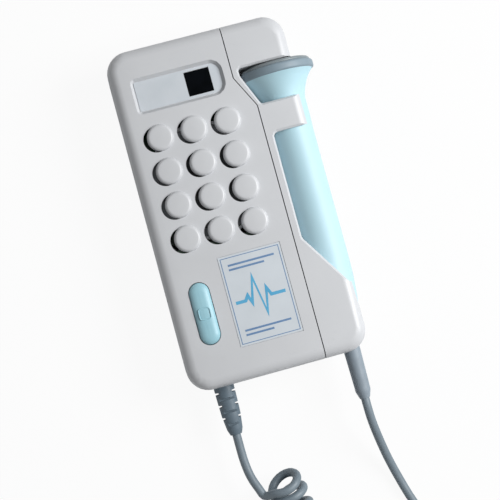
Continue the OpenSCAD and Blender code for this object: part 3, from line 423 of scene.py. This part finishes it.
def smoked_acrylic():
    """Polished smoked acrylic over an unlit display: near black, with next to no gloss in the photograph."""
    return finish("smoked_acrylic_black", ("#040608", "#080B0F", 5.0), (0.1, 0.16, 6.0),
                  IOR=1.49, Specular_IOR_Level=0.02)


def shell_abs():
    """Injection-moulded ABS, off-white: satin, as the tool's spark-eroded grain spreads the highlights."""
    look = bpy.context.scene.doppler_look
    return finish("moulded_abs_off_white", (look.shell_low, look.shell_high, 30.0), (0.34, 0.44, 18.0),
                  (0.35, 0.012, 0.35), IOR=1.53, Specular_IOR_Level=0.5)


def probe_abs():
    """Injection-moulded ABS, sky blue: smoother than the case, with a broad soft highlight."""
    look = bpy.context.scene.doppler_look
    return moulded("moulded_abs_sky_blue", look.probe_low, look.probe_high,
                   (0.52, 0.6), 0.4, 0.006, 22.0, ior=1.6)


def button_rubber():
    """Moulded elastomer key, pale blue: silky, a little glossier than the case."""
    look = bpy.context.scene.doppler_look
    return moulded("moulded_key_pale_blue", look.button_low, look.button_high,
                   (0.36, 0.46), 0.35, 0.008, 6.0)


def lead_pvc():
    """Extruded flexible PVC, grey: matt, so that each curl shades softly round."""
    look = bpy.context.scene.doppler_look
    return moulded("flexible_pvc_grey", look.lead_low, look.lead_high,
                   (0.42, 0.55), 0.6, 0.012, 8.0)


# Each slot of the record: the function that makes its finish, and that function's values
SLOT_LOOKS = {
    "shell": (shell_abs,),
    "probe_blue": (probe_abs,),
    "button_blue": (button_rubber,),
    "lead_rubber": (lead_pvc,),
    "display_black": (smoked_acrylic,),
    # Matt film behind the display's window: pale, even and flat
    "pale_plate": (film, "display_film_pale", "#C4CBD1", "#CAD0D6"),
    # Matt film of the label: a touch bluer than the case round it
    "label": (film, "label_film_pale", "#C9D0D6", "#CDD4DA"),
    # Overmoulded elastomer, slate: matt edge that frames the probe's face
    "rim_grey": (moulded, "overmoulded_elastomer_slate", "#7A8B96", "#80919C", (0.42, 0.55), 0.4, 0.012, 8.0),
    # Cast acoustic lens: smooth and slightly waxy
    "face_grey": (moulded, "acoustic_lens_grey", "#7A858A", "#828C90", (0.3, 0.4), 0.6, 0.006, 7.0),
    # Screen-printed solder mask over a glass-fibre board, green: glossy, with a faint unevenness
    "board": (moulded, "solder_mask_green", "#12502F", "#17603A", (0.25, 0.35), 0.6, 0.01, 4.0),
    # Moulded nylon, black: dull, with hardly a highlight
    "black_plastic": (moulded, "moulded_nylon_black", "#16181A", "#1E2022", (0.45, 0.6), 0.3, 0.01, 5.0),
    # Extruded PVC ribbon, ivory: uneven at the 1.27 mm that its wires lie apart
    "flat_cable": (moulded, "ribbon_pvc_ivory", "#CFCDC4", "#DAD8CF", (0.45, 0.55), 1.27, 0.03, 6.0),
    # Cut closed-cell foam, grey: fully matt and pitted
    "foam": (moulded, "closed_foam_grey", "#6A6D70", "#76797C", (0.85, 0.95), 0.5, 0.08, 3.0),
    # Pressed paper pulp, grey: fully matt, and pale enough that the grille's slots aren't quite black
    "paper": (moulded, "pressed_paper_grey", "#5E6062", "#6A6C6E", (0.8, 0.95), 0.6, 0.05, 4.0),
    # Sintered ferrite, dark grey: dull, with a faint mineral sheen
    "magnet": (moulded, "sintered_ferrite", "#3A3A3D", "#45454A", (0.55, 0.7), 0.4, 0.02, 4.0, 2.2),
    # Moulded acetal, dark grey: waxy
    "wheel_grey": (moulded, "moulded_acetal_grey", "#3F484D", "#4A5459", (0.4, 0.5), 0.3, 0.01, 5.0),
    # Lacquered tinplate: smooth and glossy
    "battery_jacket": (moulded, "lacquered_tinplate_jacket", "#38404A", "#434C57", (0.2, 0.3),
                       0.8, 0.01, 10.0),
    # Fired piezo ceramic, cream: like unglazed porcelain
    "crystal": (moulded, "piezo_ceramic_cream", "#C9B98E", "#D6C79E", (0.5, 0.6), 0.2, 0.01, 3.0),
    # Cast filled resin, dark grey: dull
    "backing": (moulded, "cast_resin_grey", "#3B3C3D", "#48494B", (0.5, 0.65), 0.5, 0.02, 4.0),
    # Rolled steel: plain grey gleam
    "steel": (metal, "plain_steel", "#A9ABAC"),
    # Zinc-plated steel: paler than the plain one
    "screw_steel": (metal, "zinc_plated_steel", "#C3C5C4"),
}


def look_of(slot):
    """The finish of a record slot, made once."""
    made = dict(bpy.context.scene.get("doppler_materials") or {})
    material = bpy.data.materials.get(made.get(slot, ""))
    if not material:
        make, *values = SLOT_LOOKS[slot]
        material = make(*values)
        made[slot] = material.name
        bpy.context.scene["doppler_materials"] = made
    return material


# ---------------------------------------------------------------- settings


def shade(name, what, default):
    """A colour setting, as sRGB hex."""
    return bpy.props.StringProperty(name=name, description="sRGB hex of " + what, default=default)


class DopplerLook(bpy.types.PropertyGroup):
    shell_low: shade("Shell, darker shade", "the case", "#C7C9CC")
    shell_high: shade("Shell, lighter shade", "the case", "#CBCDD0")
    probe_low: shade("Probe, darker shade", "the probe's handle and cone", "#B0D3DE")
    probe_high: shade("Probe, lighter shade", "the probe's handle and cone", "#B5D7E2")
    button_low: shade("Button, darker shade", "the power button", "#98C6D3")
    button_high: shade("Button, lighter shade", "the power button", "#9DCAD6")
    lead_low: shade("Lead, darker shade", "the lead", "#6E7B84")
    lead_high: shade("Lead, lighter shade", "the lead", "#76838C")
    key_power: bpy.props.FloatProperty(
        name="Key light", description="Strength of the soft light from the right", default=4.5, min=0.0,
        unit="POWER")
    fill_level: bpy.props.FloatProperty(
        name="Fill", description="Strength of the white surroundings", default=0.21, min=0.0, max=2.0,
        subtype="FACTOR")
    camera_distance: bpy.props.FloatProperty(
        name="Camera distance", description="From the camera to the case", default=0.55, min=0.2,
        unit="LENGTH")


# ---------------------------------------------------------------- stage

# The camera's turn round the case's middle in degrees, and its framing, fitted to the case's outline
CAMERA_AZIMUTH, CAMERA_ELEVATION, CAMERA_ROLL = 4.167, -3.262, 15.212
CAMERA_AIM = (0.0, 0.0, 0.0135)
CAMERA_SHIFT = (0.0306, -0.0934)
PIXELS_PER_MM = 2.445
PHOTO_PIXELS = 500.0
SENSOR_MM = 36.0
FLOOR_HALF = 3.0
FLOOR_DROP = 0.00005
# Share of the floor that the camera sees as plain white: the shadow stays as faint as on a white sweep
FLOOR_GLOW = 0.94
KEY_PLACE = (0.46, 0.0, 0.44)
KEY_SIZE = 0.34


class DOPPLER_OT_stage(bpy.types.Operator):
    """Camera at the photograph's angle, pale floor and soft studio light"""
    bl_idname = "doppler.stage"
    bl_label = "Stage"

    def execute(self, context):
        look = context.scene.doppler_look
        self.camera(context, look.camera_distance)
        self.floor(context)
        self.lights(context, look)
        context.scene.view_settings.view_transform = "Standard"
        return {"FINISHED"}

    @staticmethod
    def camera(context, distance):
        """Camera on a ray from the case's middle, turned by its azimuth, elevation and roll."""
        azimuth, elevation, roll = map(math.radians, (CAMERA_AZIMUTH, CAMERA_ELEVATION, CAMERA_ROLL))
        away = np.array([-math.sin(azimuth) * math.cos(elevation), math.sin(elevation),
                         math.cos(azimuth) * math.cos(elevation)])
        right = unit(np.cross([0.0, 1.0, 0.0], away))
        up = np.cross(away, right)
        image_right = math.cos(roll) * right - math.sin(roll) * up
        image_up = math.sin(roll) * right + math.cos(roll) * up
        place = np.array(CAMERA_AIM) + distance * away
        data = bpy.data.cameras.new("Camera")
        camera = bpy.data.objects.new("Camera", data)
        context.scene.collection.objects.link(camera)
        rows = np.column_stack([image_right, image_up, away, place]).tolist()
        camera.matrix_world = Matrix([*rows, (0.0, 0.0, 0.0, 1.0)])
        data.sensor_width = SENSOR_MM
        data.lens = PIXELS_PER_MM * distance / MM / PHOTO_PIXELS * SENSOR_MM
        data.shift_x, data.shift_y = CAMERA_SHIFT
        data.clip_start, data.clip_end = 0.02, 20.0
        context.scene.camera = camera

    @staticmethod
    def floor(context):
        """A wide level sheet at the case's back, a little below it so that nothing shares its plane."""
        mesh = bpy.data.meshes.new("Studio_floor")
        corners = [(side * FLOOR_HALF, end * FLOOR_HALF, -FLOOR_DROP)
                   for side, end in ((-1, -1), (1, -1), (1, 1), (-1, 1))]
        mesh.from_pydata(corners, [], [(0, 1, 2, 3)])
        floor = bpy.data.objects.new("Studio_floor", mesh)
        context.scene.collection.objects.link(floor)
        # Matt white paper: soft shadows, no gloss
        material, tree = new_material("white_paper_floor")
        path = add_node(tree, "ShaderNodeLightPath")
        diffuse = add_node(tree, "ShaderNodeBsdfDiffuse", {"Color": linear("#F4F5F6"), "Roughness": 0.6})
        glow = add_node(tree, "ShaderNodeEmission", {"Color": linear("#FEFEFE"), "Strength": 1.0})
        share = add_node(tree, "ShaderNodeMath", {0: path.outputs["Is Camera Ray"], 1: FLOOR_GLOW},
                         operation="MULTIPLY")
        mixed = add_node(tree, "ShaderNodeMixShader",
                         {0: share.outputs[0], 1: diffuse.outputs[0], 2: glow.outputs[0]})
        add_node(tree, "ShaderNodeOutputMaterial", {"Surface": mixed.outputs[0]})
        mesh.materials.append(material)

    @staticmethod
    def lights(context, look):
        """White surroundings, and one broad soft light above the right side, about as high as it is far."""
        world = bpy.data.worlds.new("Studio")
        context.scene.world = world
        world.use_nodes = True
        tree = world.node_tree
        tree.nodes.clear()
        path = add_node(tree, "ShaderNodeLightPath")
        seen = path.outputs["Is Camera Ray"]
        for ray in ("Is Glossy Ray", "Is Transmission Ray"):
            seen = add_node(tree, "ShaderNodeMath", {0: seen, 1: path.outputs[ray]},
                            operation="MAXIMUM").outputs[0]
        white = (1, 1, 1, 1)
        fill = add_node(tree, "ShaderNodeBackground", {"Color": white, "Strength": look.fill_level})
        backdrop = add_node(tree, "ShaderNodeBackground", {"Color": white, "Strength": 1.0})
        mixed = add_node(tree, "ShaderNodeMixShader", {0: seen, 1: fill.outputs[0], 2: backdrop.outputs[0]})
        add_node(tree, "ShaderNodeOutputWorld", {"Surface": mixed.outputs[0]})
        data = bpy.data.lights.new("Key", "AREA")
        data.shape = "RECTANGLE"
        data.size, data.size_y = KEY_SIZE, KEY_SIZE
        data.energy = look.key_power
        key = bpy.data.objects.new("Key", data)
        context.scene.collection.objects.link(key)
        place = Vector(KEY_PLACE)
        facing = (-place).to_track_quat("-Z", "Y").to_matrix().to_4x4()
        key.matrix_world = Matrix.Translation(place) @ facing


# ---------------------------------------------------------------- lead and shells


class DOPPLER_OT_lead(bpy.types.Operator):
    """The grey lead: its tail and curls from the case, and the straight run to the probe"""
    bl_idname = "doppler.lead"
    bl_label = "Lead"

    # Points where the curls would hand over from the case to the probe; nothing reads them, and the curls
    # ride on no body
    BLEND_START = (0.0, -0.16, 0.008)
    BLEND_END = (0.036, -0.16, 0.008)

    def execute(self, context):
        line, probe_run = lead_paths()
        rubber = look_of("lead_rubber")
        curls = new_piece("Curled_lead", swept_tube("Curled_lead", line, LEAD_D / 2), rubber, None,
                          ("lead_tail", "lead_curly"))
        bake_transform(curls)
        run = new_piece("Probe_lead_run", swept_tube("Probe_lead_run", probe_run, LEAD_D / 2), rubber,
                        "probe", ("probe_lead",))
        return {"FINISHED"}


class DOPPLER_OT_shells(bpy.types.Operator):
    """Front cover, back shell, holster moulding and battery door"""
    bl_idname = "doppler.shells"
    bl_label = "Shells"

    SHELLS = (("front_cover", "Front_cover_shell", "case"), ("rear_case", "Back_shell", "case"),
              ("probe_holster", "Holster_shell", "case"), ("battery_door", "Battery_door_shell", "door"))

    def execute(self, context):
        for node, name, body in self.SHELLS:
            piece = new_piece(name, smooth_copy(node), look_of("shell"), body, (node,))
            weigh_normals(piece)
        return {"FINISHED"}


# ---------------------------------------------------------------- probe

# Where the handle meets the cone: height along Y, outer radius and the cone's wall
NECK_Y = 32.0
NECK_R = 9.0
NECK_WALL = 1.6
# Handle's side and its bore, each as (radius, height over its foot), and the lead's hole in its foot
HANDLE_SIDE = [(4.6, 1.0), (5.6, 4.5), (6.8, 10), (7.8, 17), (8.5, 25), (8.8, 34), (8.8, 60), (8.8, 86),
               (8.9, 91), (9.0, 95)]
HANDLE_BORE = [(7.2, 34), (4.2, 5), (4.2, 2.3)]
HANDLE_BORE_NECK_R = 7.4
HANDLE_HOLE_R = 3.05
FOOT_WALL = 2.3
FOOT_ROUND = 0.9
# Cone's flare as (part of the way out, part of the way along)
CONE_FLARE = [(0.0, 0.0), (0.02, 0.22), (0.17, 0.44), (0.4, 0.66), (0.68, 0.85), (1.0, 1.0)]
CONE_WALL = 1.7
CONE_INNER_STRIDE = 8
# The cone ends this far inside the head's outer radius, and the rim's two corners have these radii
CONE_INSET = 0.9
RIM_LOW_ROUND = 0.9
RIM_HIGH_ROUND = 1.2
RIM_WIDTH = 3.4
# The lens as (how far inside the head's radius, height over the rim), from its edge to near the axis
LENS_DOME = [(0.95, 0.02), (1.1, 0.7), (2, 1.3), (5, 1.7), (10, 1.86)]
LENS_RISE = 1.9
LENS_DEPTH = 1.2
LENS_BACK_INSET = 3.5
AXIS_R = 0.05
HANDLE_TURN_STEPS = 88
HEAD_TURN_STEPS = 104


class DOPPLER_OT_probe(bpy.types.Operator):
    """The probe: handle, flared cone, rim and face"""
    bl_idname = "doppler.probe"
    bl_label = "Probe"

    def execute(self, context):
        low, high = box_mm("probe_rim")
        centre = ((low[0] + high[0]) / 2, 0.0, (low[2] + high[2]) / 2)
        head_r, rim_low, rim_high = (high[0] - low[0]) / 2, low[1], high[1]
        foot = box_mm("probe_handle")[0][1]
        handle = turned(self.handle_outline(foot), centre, HANDLE_TURN_STEPS)
        cone = turned(self.cone_outline(head_r, rim_low), centre, HEAD_TURN_STEPS)
        rim = turned(self.rim_outline(head_r, rim_low, rim_high), centre, HEAD_TURN_STEPS)
        face = turned(self.face_outline(head_r, rim_high), centre, HEAD_TURN_STEPS)
        self.shell("Probe_handle_shell", handle, "probe_blue", "probe_handle")
        self.shell("Probe_cone_shell", cone, "probe_blue", "probe_cone")
        self.shell("Probe_rim_shell", rim, "rim_grey", "probe_rim")
        self.shell("Probe_face_lens", face, "face_grey", "probe_face", ring=False)
        return {"FINISHED"}

    @staticmethod
    def handle_outline(foot):
        """Hollow handle: the lead's hole, a rounded foot, the side up to the neck, and the bore back."""
        hole = [(HANDLE_HOLE_R, foot + FOOT_WALL), (HANDLE_HOLE_R, foot)]
        corner_r = HANDLE_SIDE[0][0] - FOOT_ROUND
        corner = arc_points((corner_r, foot + FOOT_ROUND), FOOT_ROUND, -90, 0, 6)
        side = eased_outline([(r, foot + h) for r, h in HANDLE_SIDE] + [(NECK_R, NECK_Y)])
        bore = [(HANDLE_BORE_NECK_R, NECK_Y)] + [(r, foot + h) for r, h in HANDLE_BORE]
        return np.vstack([hole, corner, side, bore])

    @staticmethod
    def cone_outline(head_r, rim_low):
        """Hollow cone: the flare from the neck to the rim, and the same flare a wall further in."""
        width, height = head_r - CONE_INSET - NECK_R, rim_low - NECK_Y
        outer = eased_outline([(NECK_R + out * width, NECK_Y + along * height) for out, along in CONE_FLARE])
        inner = [(r - CONE_WALL, y) for r, y in outer[::-CONE_INNER_STRIDE]]
        inner[0] = (head_r - CONE_INSET - CONE_WALL, rim_low)
        inner[-1] = (NECK_R - NECK_WALL, NECK_Y)
        return np.vstack([outer, inner])

    @staticmethod
    def rim_outline(head_r, rim_low, rim_high):
        """Flat ring with both outer corners rounded."""
        low_middle = (head_r - RIM_LOW_ROUND, rim_low + RIM_LOW_ROUND)
        high_middle = (head_r - RIM_HIGH_ROUND, rim_high - RIM_HIGH_ROUND)
        inner_r = head_r - RIM_WIDTH
        return np.vstack([[(inner_r, rim_low), (head_r - RIM_HIGH_ROUND, rim_low)],
                          arc_points(low_middle, RIM_LOW_ROUND, -90, 0, 7),
                          arc_points(high_middle, RIM_HIGH_ROUND, 0, 90, 9), [(inner_r, rim_high)]])

    @staticmethod
    def face_outline(head_r, rim_high):
        """Lens: a flat back inside the rim, and a shallow dome over it."""
        back_r, back_y = head_r - LENS_BACK_INSET, rim_high - LENS_DEPTH
        dome = eased_outline([(head_r - inside, rim_high + rise) for inside, rise in LENS_DOME]
                             + [(AXIS_R, rim_high + LENS_RISE)])
        return np.vstack([[(AXIS_R, back_y), (back_r, back_y), (back_r, dome[0, 1])], dome])

    @staticmethod
    def shell(name, grid, slot, node, ring=True):
        """Closes the turned surface: a ring joins its last row to its first, a lens is capped at its axis."""
        mesh = grid_mesh(name, grid, wrap_rows=ring, cap_first=not ring, cap_last=not ring)
        new_piece(name, outward(mesh, sharp_degrees=42), look_of(slot), "probe", (node,))


# ---------------------------------------------------------------- power button

BUTTON_FLANGE = 0.9
BUTTON_FLANGE_T = 0.9
BUTTON_CROWN_HIGH = 1.9
BUTTON_CROWN_IN = 3.4
BUTTON_CROWN_STEPS = 18
BUTTON_TURN_STEPS = 96
# The side is straight up to this far below the crown
BUTTON_SIDE_GAP = 0.5
# The top rises by this much from the crown's end to the middle, where a slit of this half width is capped
BUTTON_CAMBER = 0.06
BUTTON_SLIT = 0.02
MARK_HALF = 2.3
MARK_SQUARENESS = 0.45
MARK_HALF_WIDTH = 0.24
MARK_HEIGHT = 0.15
MARK_SINK = 0.03
MARK_STEPS = 72


class DOPPLER_OT_button(bpy.types.Operator):
    """The domed blue power button with a plain raised square on it"""
    bl_idname = "doppler.button"
    bl_label = "Power button"

    def execute(self, context):
        low, high = box_mm("power_button")
        key = look_of("button_blue")
        mesh = grid_mesh("Power_button_cap", self.cap(low, high), cap_first=True, cap_last=True)
        new_piece("Power_button_cap", outward(mesh, sharp_degrees=55), key, "button",
                  ("power_button",))
        mesh = grid_mesh("Power_button_mark", self.mark((low + high) / 2, high[2]), wrap_rows=True)
        new_piece("Power_button_mark", outward(mesh), key, "button")
        return {"FINISHED"}

    @staticmethod
    def cap(low, high):
        """Stadium rows, each drawn in from the side: flange, side, a quarter ellipse, then the top.

        A row of radius r is (r cos(turn), r sin(turn) + half the straight length), mirrored at the foot
        """
        middle = (low + high) / 2
        half_w = (high[0] - low[0]) / 2 - BUTTON_FLANGE
        straight = (high[1] - low[1]) / 2 - BUTTON_FLANGE - half_w
        top, bottom = high[2], low[2]
        crown_low, crown_rise = top - BUTTON_CROWN_HIGH, BUTTON_CROWN_HIGH - BUTTON_CAMBER
        flange_top = bottom + BUTTON_FLANGE_T
        rows = [(-BUTTON_FLANGE, bottom), (-BUTTON_FLANGE, flange_top), (0.0, flange_top),
                (0.0, crown_low - BUTTON_SIDE_GAP)]
        rows += [(BUTTON_CROWN_IN * (1 - math.cos(a)), crown_low + crown_rise * math.sin(a))
                 for a in np.radians(np.linspace(0, 90, BUTTON_CROWN_STEPS))]
        rows.append((half_w - BUTTON_SLIT, top))
        rows = np.array(rows)
        # The small offset keeps every sine away from zero, where a point would belong to neither end
        around = np.linspace(0, 2 * np.pi, BUTTON_TURN_STEPS, endpoint=False) + 1e-4
        radius = half_w - rows[:, :1]
        x = middle[0] + radius * np.cos(around)
        y = middle[1] + radius * np.sin(around) + straight * np.sign(np.sin(around))
        z = rows[:, 1:] + 0.0 * around
        return np.stack([x, y, z], axis=-1)

    @staticmethod
    def mark(middle, top):
        """A raised square outline with round corners: a flattened bead carried round a superellipse.

        x = half sign(cos(turn)) |cos(turn)|^squareness, and y the same with the sine
        """
        turn = np.linspace(0, 2 * np.pi, MARK_STEPS, endpoint=False)
        cosine, sine = (MARK_HALF * np.sign(f) * np.abs(f) ** MARK_SQUARENESS
                        for f in (np.cos(turn), np.sin(turn)))
        line = np.stack([middle[0] + cosine, middle[1] + sine, np.full(MARK_STEPS, top - MARK_SINK)], axis=-1)
        ways = unit(np.roll(line, -1, axis=0) - np.roll(line, 1, axis=0))
        side = np.cross(ways, [0.0, 0.0, 1.0])
        bead = np.linspace(0, 2 * np.pi, 10, endpoint=False)[None, :, None]
        return (line[:, None] + MARK_HALF_WIDTH * np.cos(bead) * side[:, None]
                + MARK_HEIGHT * np.sin(bead) * np.array([0.0, 0.0, 1.0]))


# ---------------------------------------------------------------- label

# Lines of the label's printing, in mm from its middle
LABEL_BORDER_IN = 0.9
LABEL_RULES = [[(-9.5, 14.2), (9.5, 14.2)], [(-9.5, 12.4), (5.0, 12.4)], [(-9.5, -12.4), (9.5, -12.4)],
               [(-9.5, -14.2), (2.0, -14.2)]]
LABEL_TRACE = [(-10.2, -1.0), (-6.2, -1.0), (-4.9, 0.9), (-3.7, -2.4), (-1.4, 7.8), (1.2, -7.6), (3.0, 2.2),
               (4.4, -1.0), (10.2, -1.0)]
BORDER_WIDTH, RULE_WIDTH, TRACE_WIDTH = 0.3, 0.8, 1.3
INK_LOW, INK_TOP = 0.01, 0.04
LEAST_MITRE = 0.35


class DOPPLER_OT_print(bpy.types.Operator):
    """Plain printing on the label: a border, four rules and a pulse trace"""
    bl_idname = "doppler.print"
    bl_label = "Label printing"

    def execute(self, context):
        low, high = box_mm("label_plate")
        origin = (*((low + high) / 2)[:2], high[2])
        x, y = ((high - low) / 2 - LABEL_BORDER_IN)[:2]
        border = [(-x, -y), (x, -y), (x, y), (-x, y)]
        # Screen ink, slate blue and cyan: a thin satin layer, just proud of the film
        blue = moulded("screen_ink_slate_blue", "#5F7FA6", "#6787AD", (0.4, 0.5), 0.4, 0.003, 5.0)
        cyan = moulded("screen_ink_cyan", "#4FA0C8", "#57A8CE", (0.4, 0.5), 0.4, 0.003, 5.0)
        rules = [self.ribbon(border, BORDER_WIDTH, True, origin)]
        rules += [self.ribbon(rule, RULE_WIDTH, False, origin) for rule in LABEL_RULES]
        trace = [self.ribbon(LABEL_TRACE, TRACE_WIDTH, False, origin)]
        for name, ribbons, ink in (("Label_rules", rules, blue), ("Label_trace", trace, cyan)):
            new_piece(name, outward(grids_mesh(name, ribbons), sharp_degrees=42), ink, "case")
        return {"FINISHED"}

    @staticmethod
    def ribbon(points, width, closed, origin):
        """Flat strip of ink along a line, with its bends mitred.

        Its edges lie at point + or - mitre (width / 2) / (mitre . normal), where the mitre is the middle
        of the normals before and after the point; each row has both edges at both heights.
        """
        points = np.array(points)
        ahead = unit((np.roll(points, -1, axis=0) - points) if closed else np.diff(points, axis=0))
        before = np.roll(ahead, 1, axis=0) if closed else np.vstack([ahead[:1], ahead])
        after = ahead if closed else np.vstack([ahead, ahead[-1:]])
        normal_before, normal_after = (np.stack([-way[:, 1], way[:, 0]], axis=-1) for way in (before, after))
        mitre = unit(normal_before + normal_after)
        slant = (mitre * normal_after).sum(axis=1, keepdims=True)
        reach = mitre * (width / 2 / np.maximum(slant, LEAST_MITRE))
        corners = ((1, INK_LOW), (1, INK_TOP), (-1, INK_TOP), (-1, INK_LOW))
        rows = np.stack([np.insert(points + side * reach, 2, height, axis=1) for side, height in corners],
                        axis=1)
        return rows + origin, {"wrap_rows": closed, "cap_first": not closed, "cap_last": not closed}


# ---------------------------------------------------------------- strain reliefs and inside


class DOPPLER_OT_reliefs(bpy.types.Operator):
    """Strain reliefs of the case and of the probe"""
    bl_idname = "doppler.reliefs"
    bl_label = "Strain reliefs"

    def execute(self, context):
        # Moulded thermoplastic elastomer, one grey for both reliefs, soft and matt: the case's relief gets
        # painted shade and is darker than its lead, the probe's relief gets painted light
        dark = moulded("moulded_elastomer_slate", "#596873", "#61707B", (0.48, 0.6), 0.4, 0.012, 6.0)
        pale = moulded("moulded_elastomer_grey_painted_light", "#808C96", "#87939D", (0.48, 0.6), 0.4, 0.012, 6.0)
        for node, name, body, rubber in (("lead_relief", "Lead_strain_relief", "case", dark),
                                         ("probe_relief", "Probe_strain_relief", "probe", pale)):
            mesh = smooth_copy(node, sharp_degrees=35.0)
            piece = new_piece(name, mesh, rubber, body, (node,))
            weigh_normals(piece)
        return {"FINISHED"}


class DOPPLER_OT_inside(bpy.types.Operator):
    """Finishes of the display, the label and the pieces inside the case"""
    bl_idname = "doppler.inside"
    bl_label = "Display, label and inside"

    def execute(self, context):
        for row in frame["record"]["subparts"]:
            data = frame["nodes"][row["node"]].data
            data.materials.clear()
            data.materials.append(look_of(row["material_slot"]))
        return {"FINISHED"}


# ---------------------------------------------------------------- panel and run


class DOPPLER_PT_panel(bpy.types.Panel):
    bl_idname = "DOPPLER_PT_panel"
    bl_label = "Pocket doppler"
    bl_space_type = "VIEW_3D"
    bl_region_type = "UI"
    bl_category = "Doppler"

    def draw(self, context):
        for name in DopplerLook.__annotations__:
            self.layout.prop(context.scene.doppler_look, name)
        for step in STEPS:
            self.layout.operator(step.bl_idname)


STEPS = (DOPPLER_OT_stage, DOPPLER_OT_lead, DOPPLER_OT_shells, DOPPLER_OT_probe, DOPPLER_OT_button,
         DOPPLER_OT_print, DOPPLER_OT_reliefs, DOPPLER_OT_inside)
CLASSES = (DopplerLook, *STEPS, DOPPLER_PT_panel)


def register():
    for kind in CLASSES:
        bpy.utils.register_class(kind)
    bpy.types.Scene.doppler_look = bpy.props.PointerProperty(type=DopplerLook)


def unregister():
    del bpy.types.Scene.doppler_look
    for kind in reversed(CLASSES):
        bpy.utils.unregister_class(kind)


def main():
    register()
    for step in STEPS:
        space, name = step.bl_idname.split(".")
        getattr(getattr(bpy.ops, space), name)()


if __name__ == "__main__":
    main()
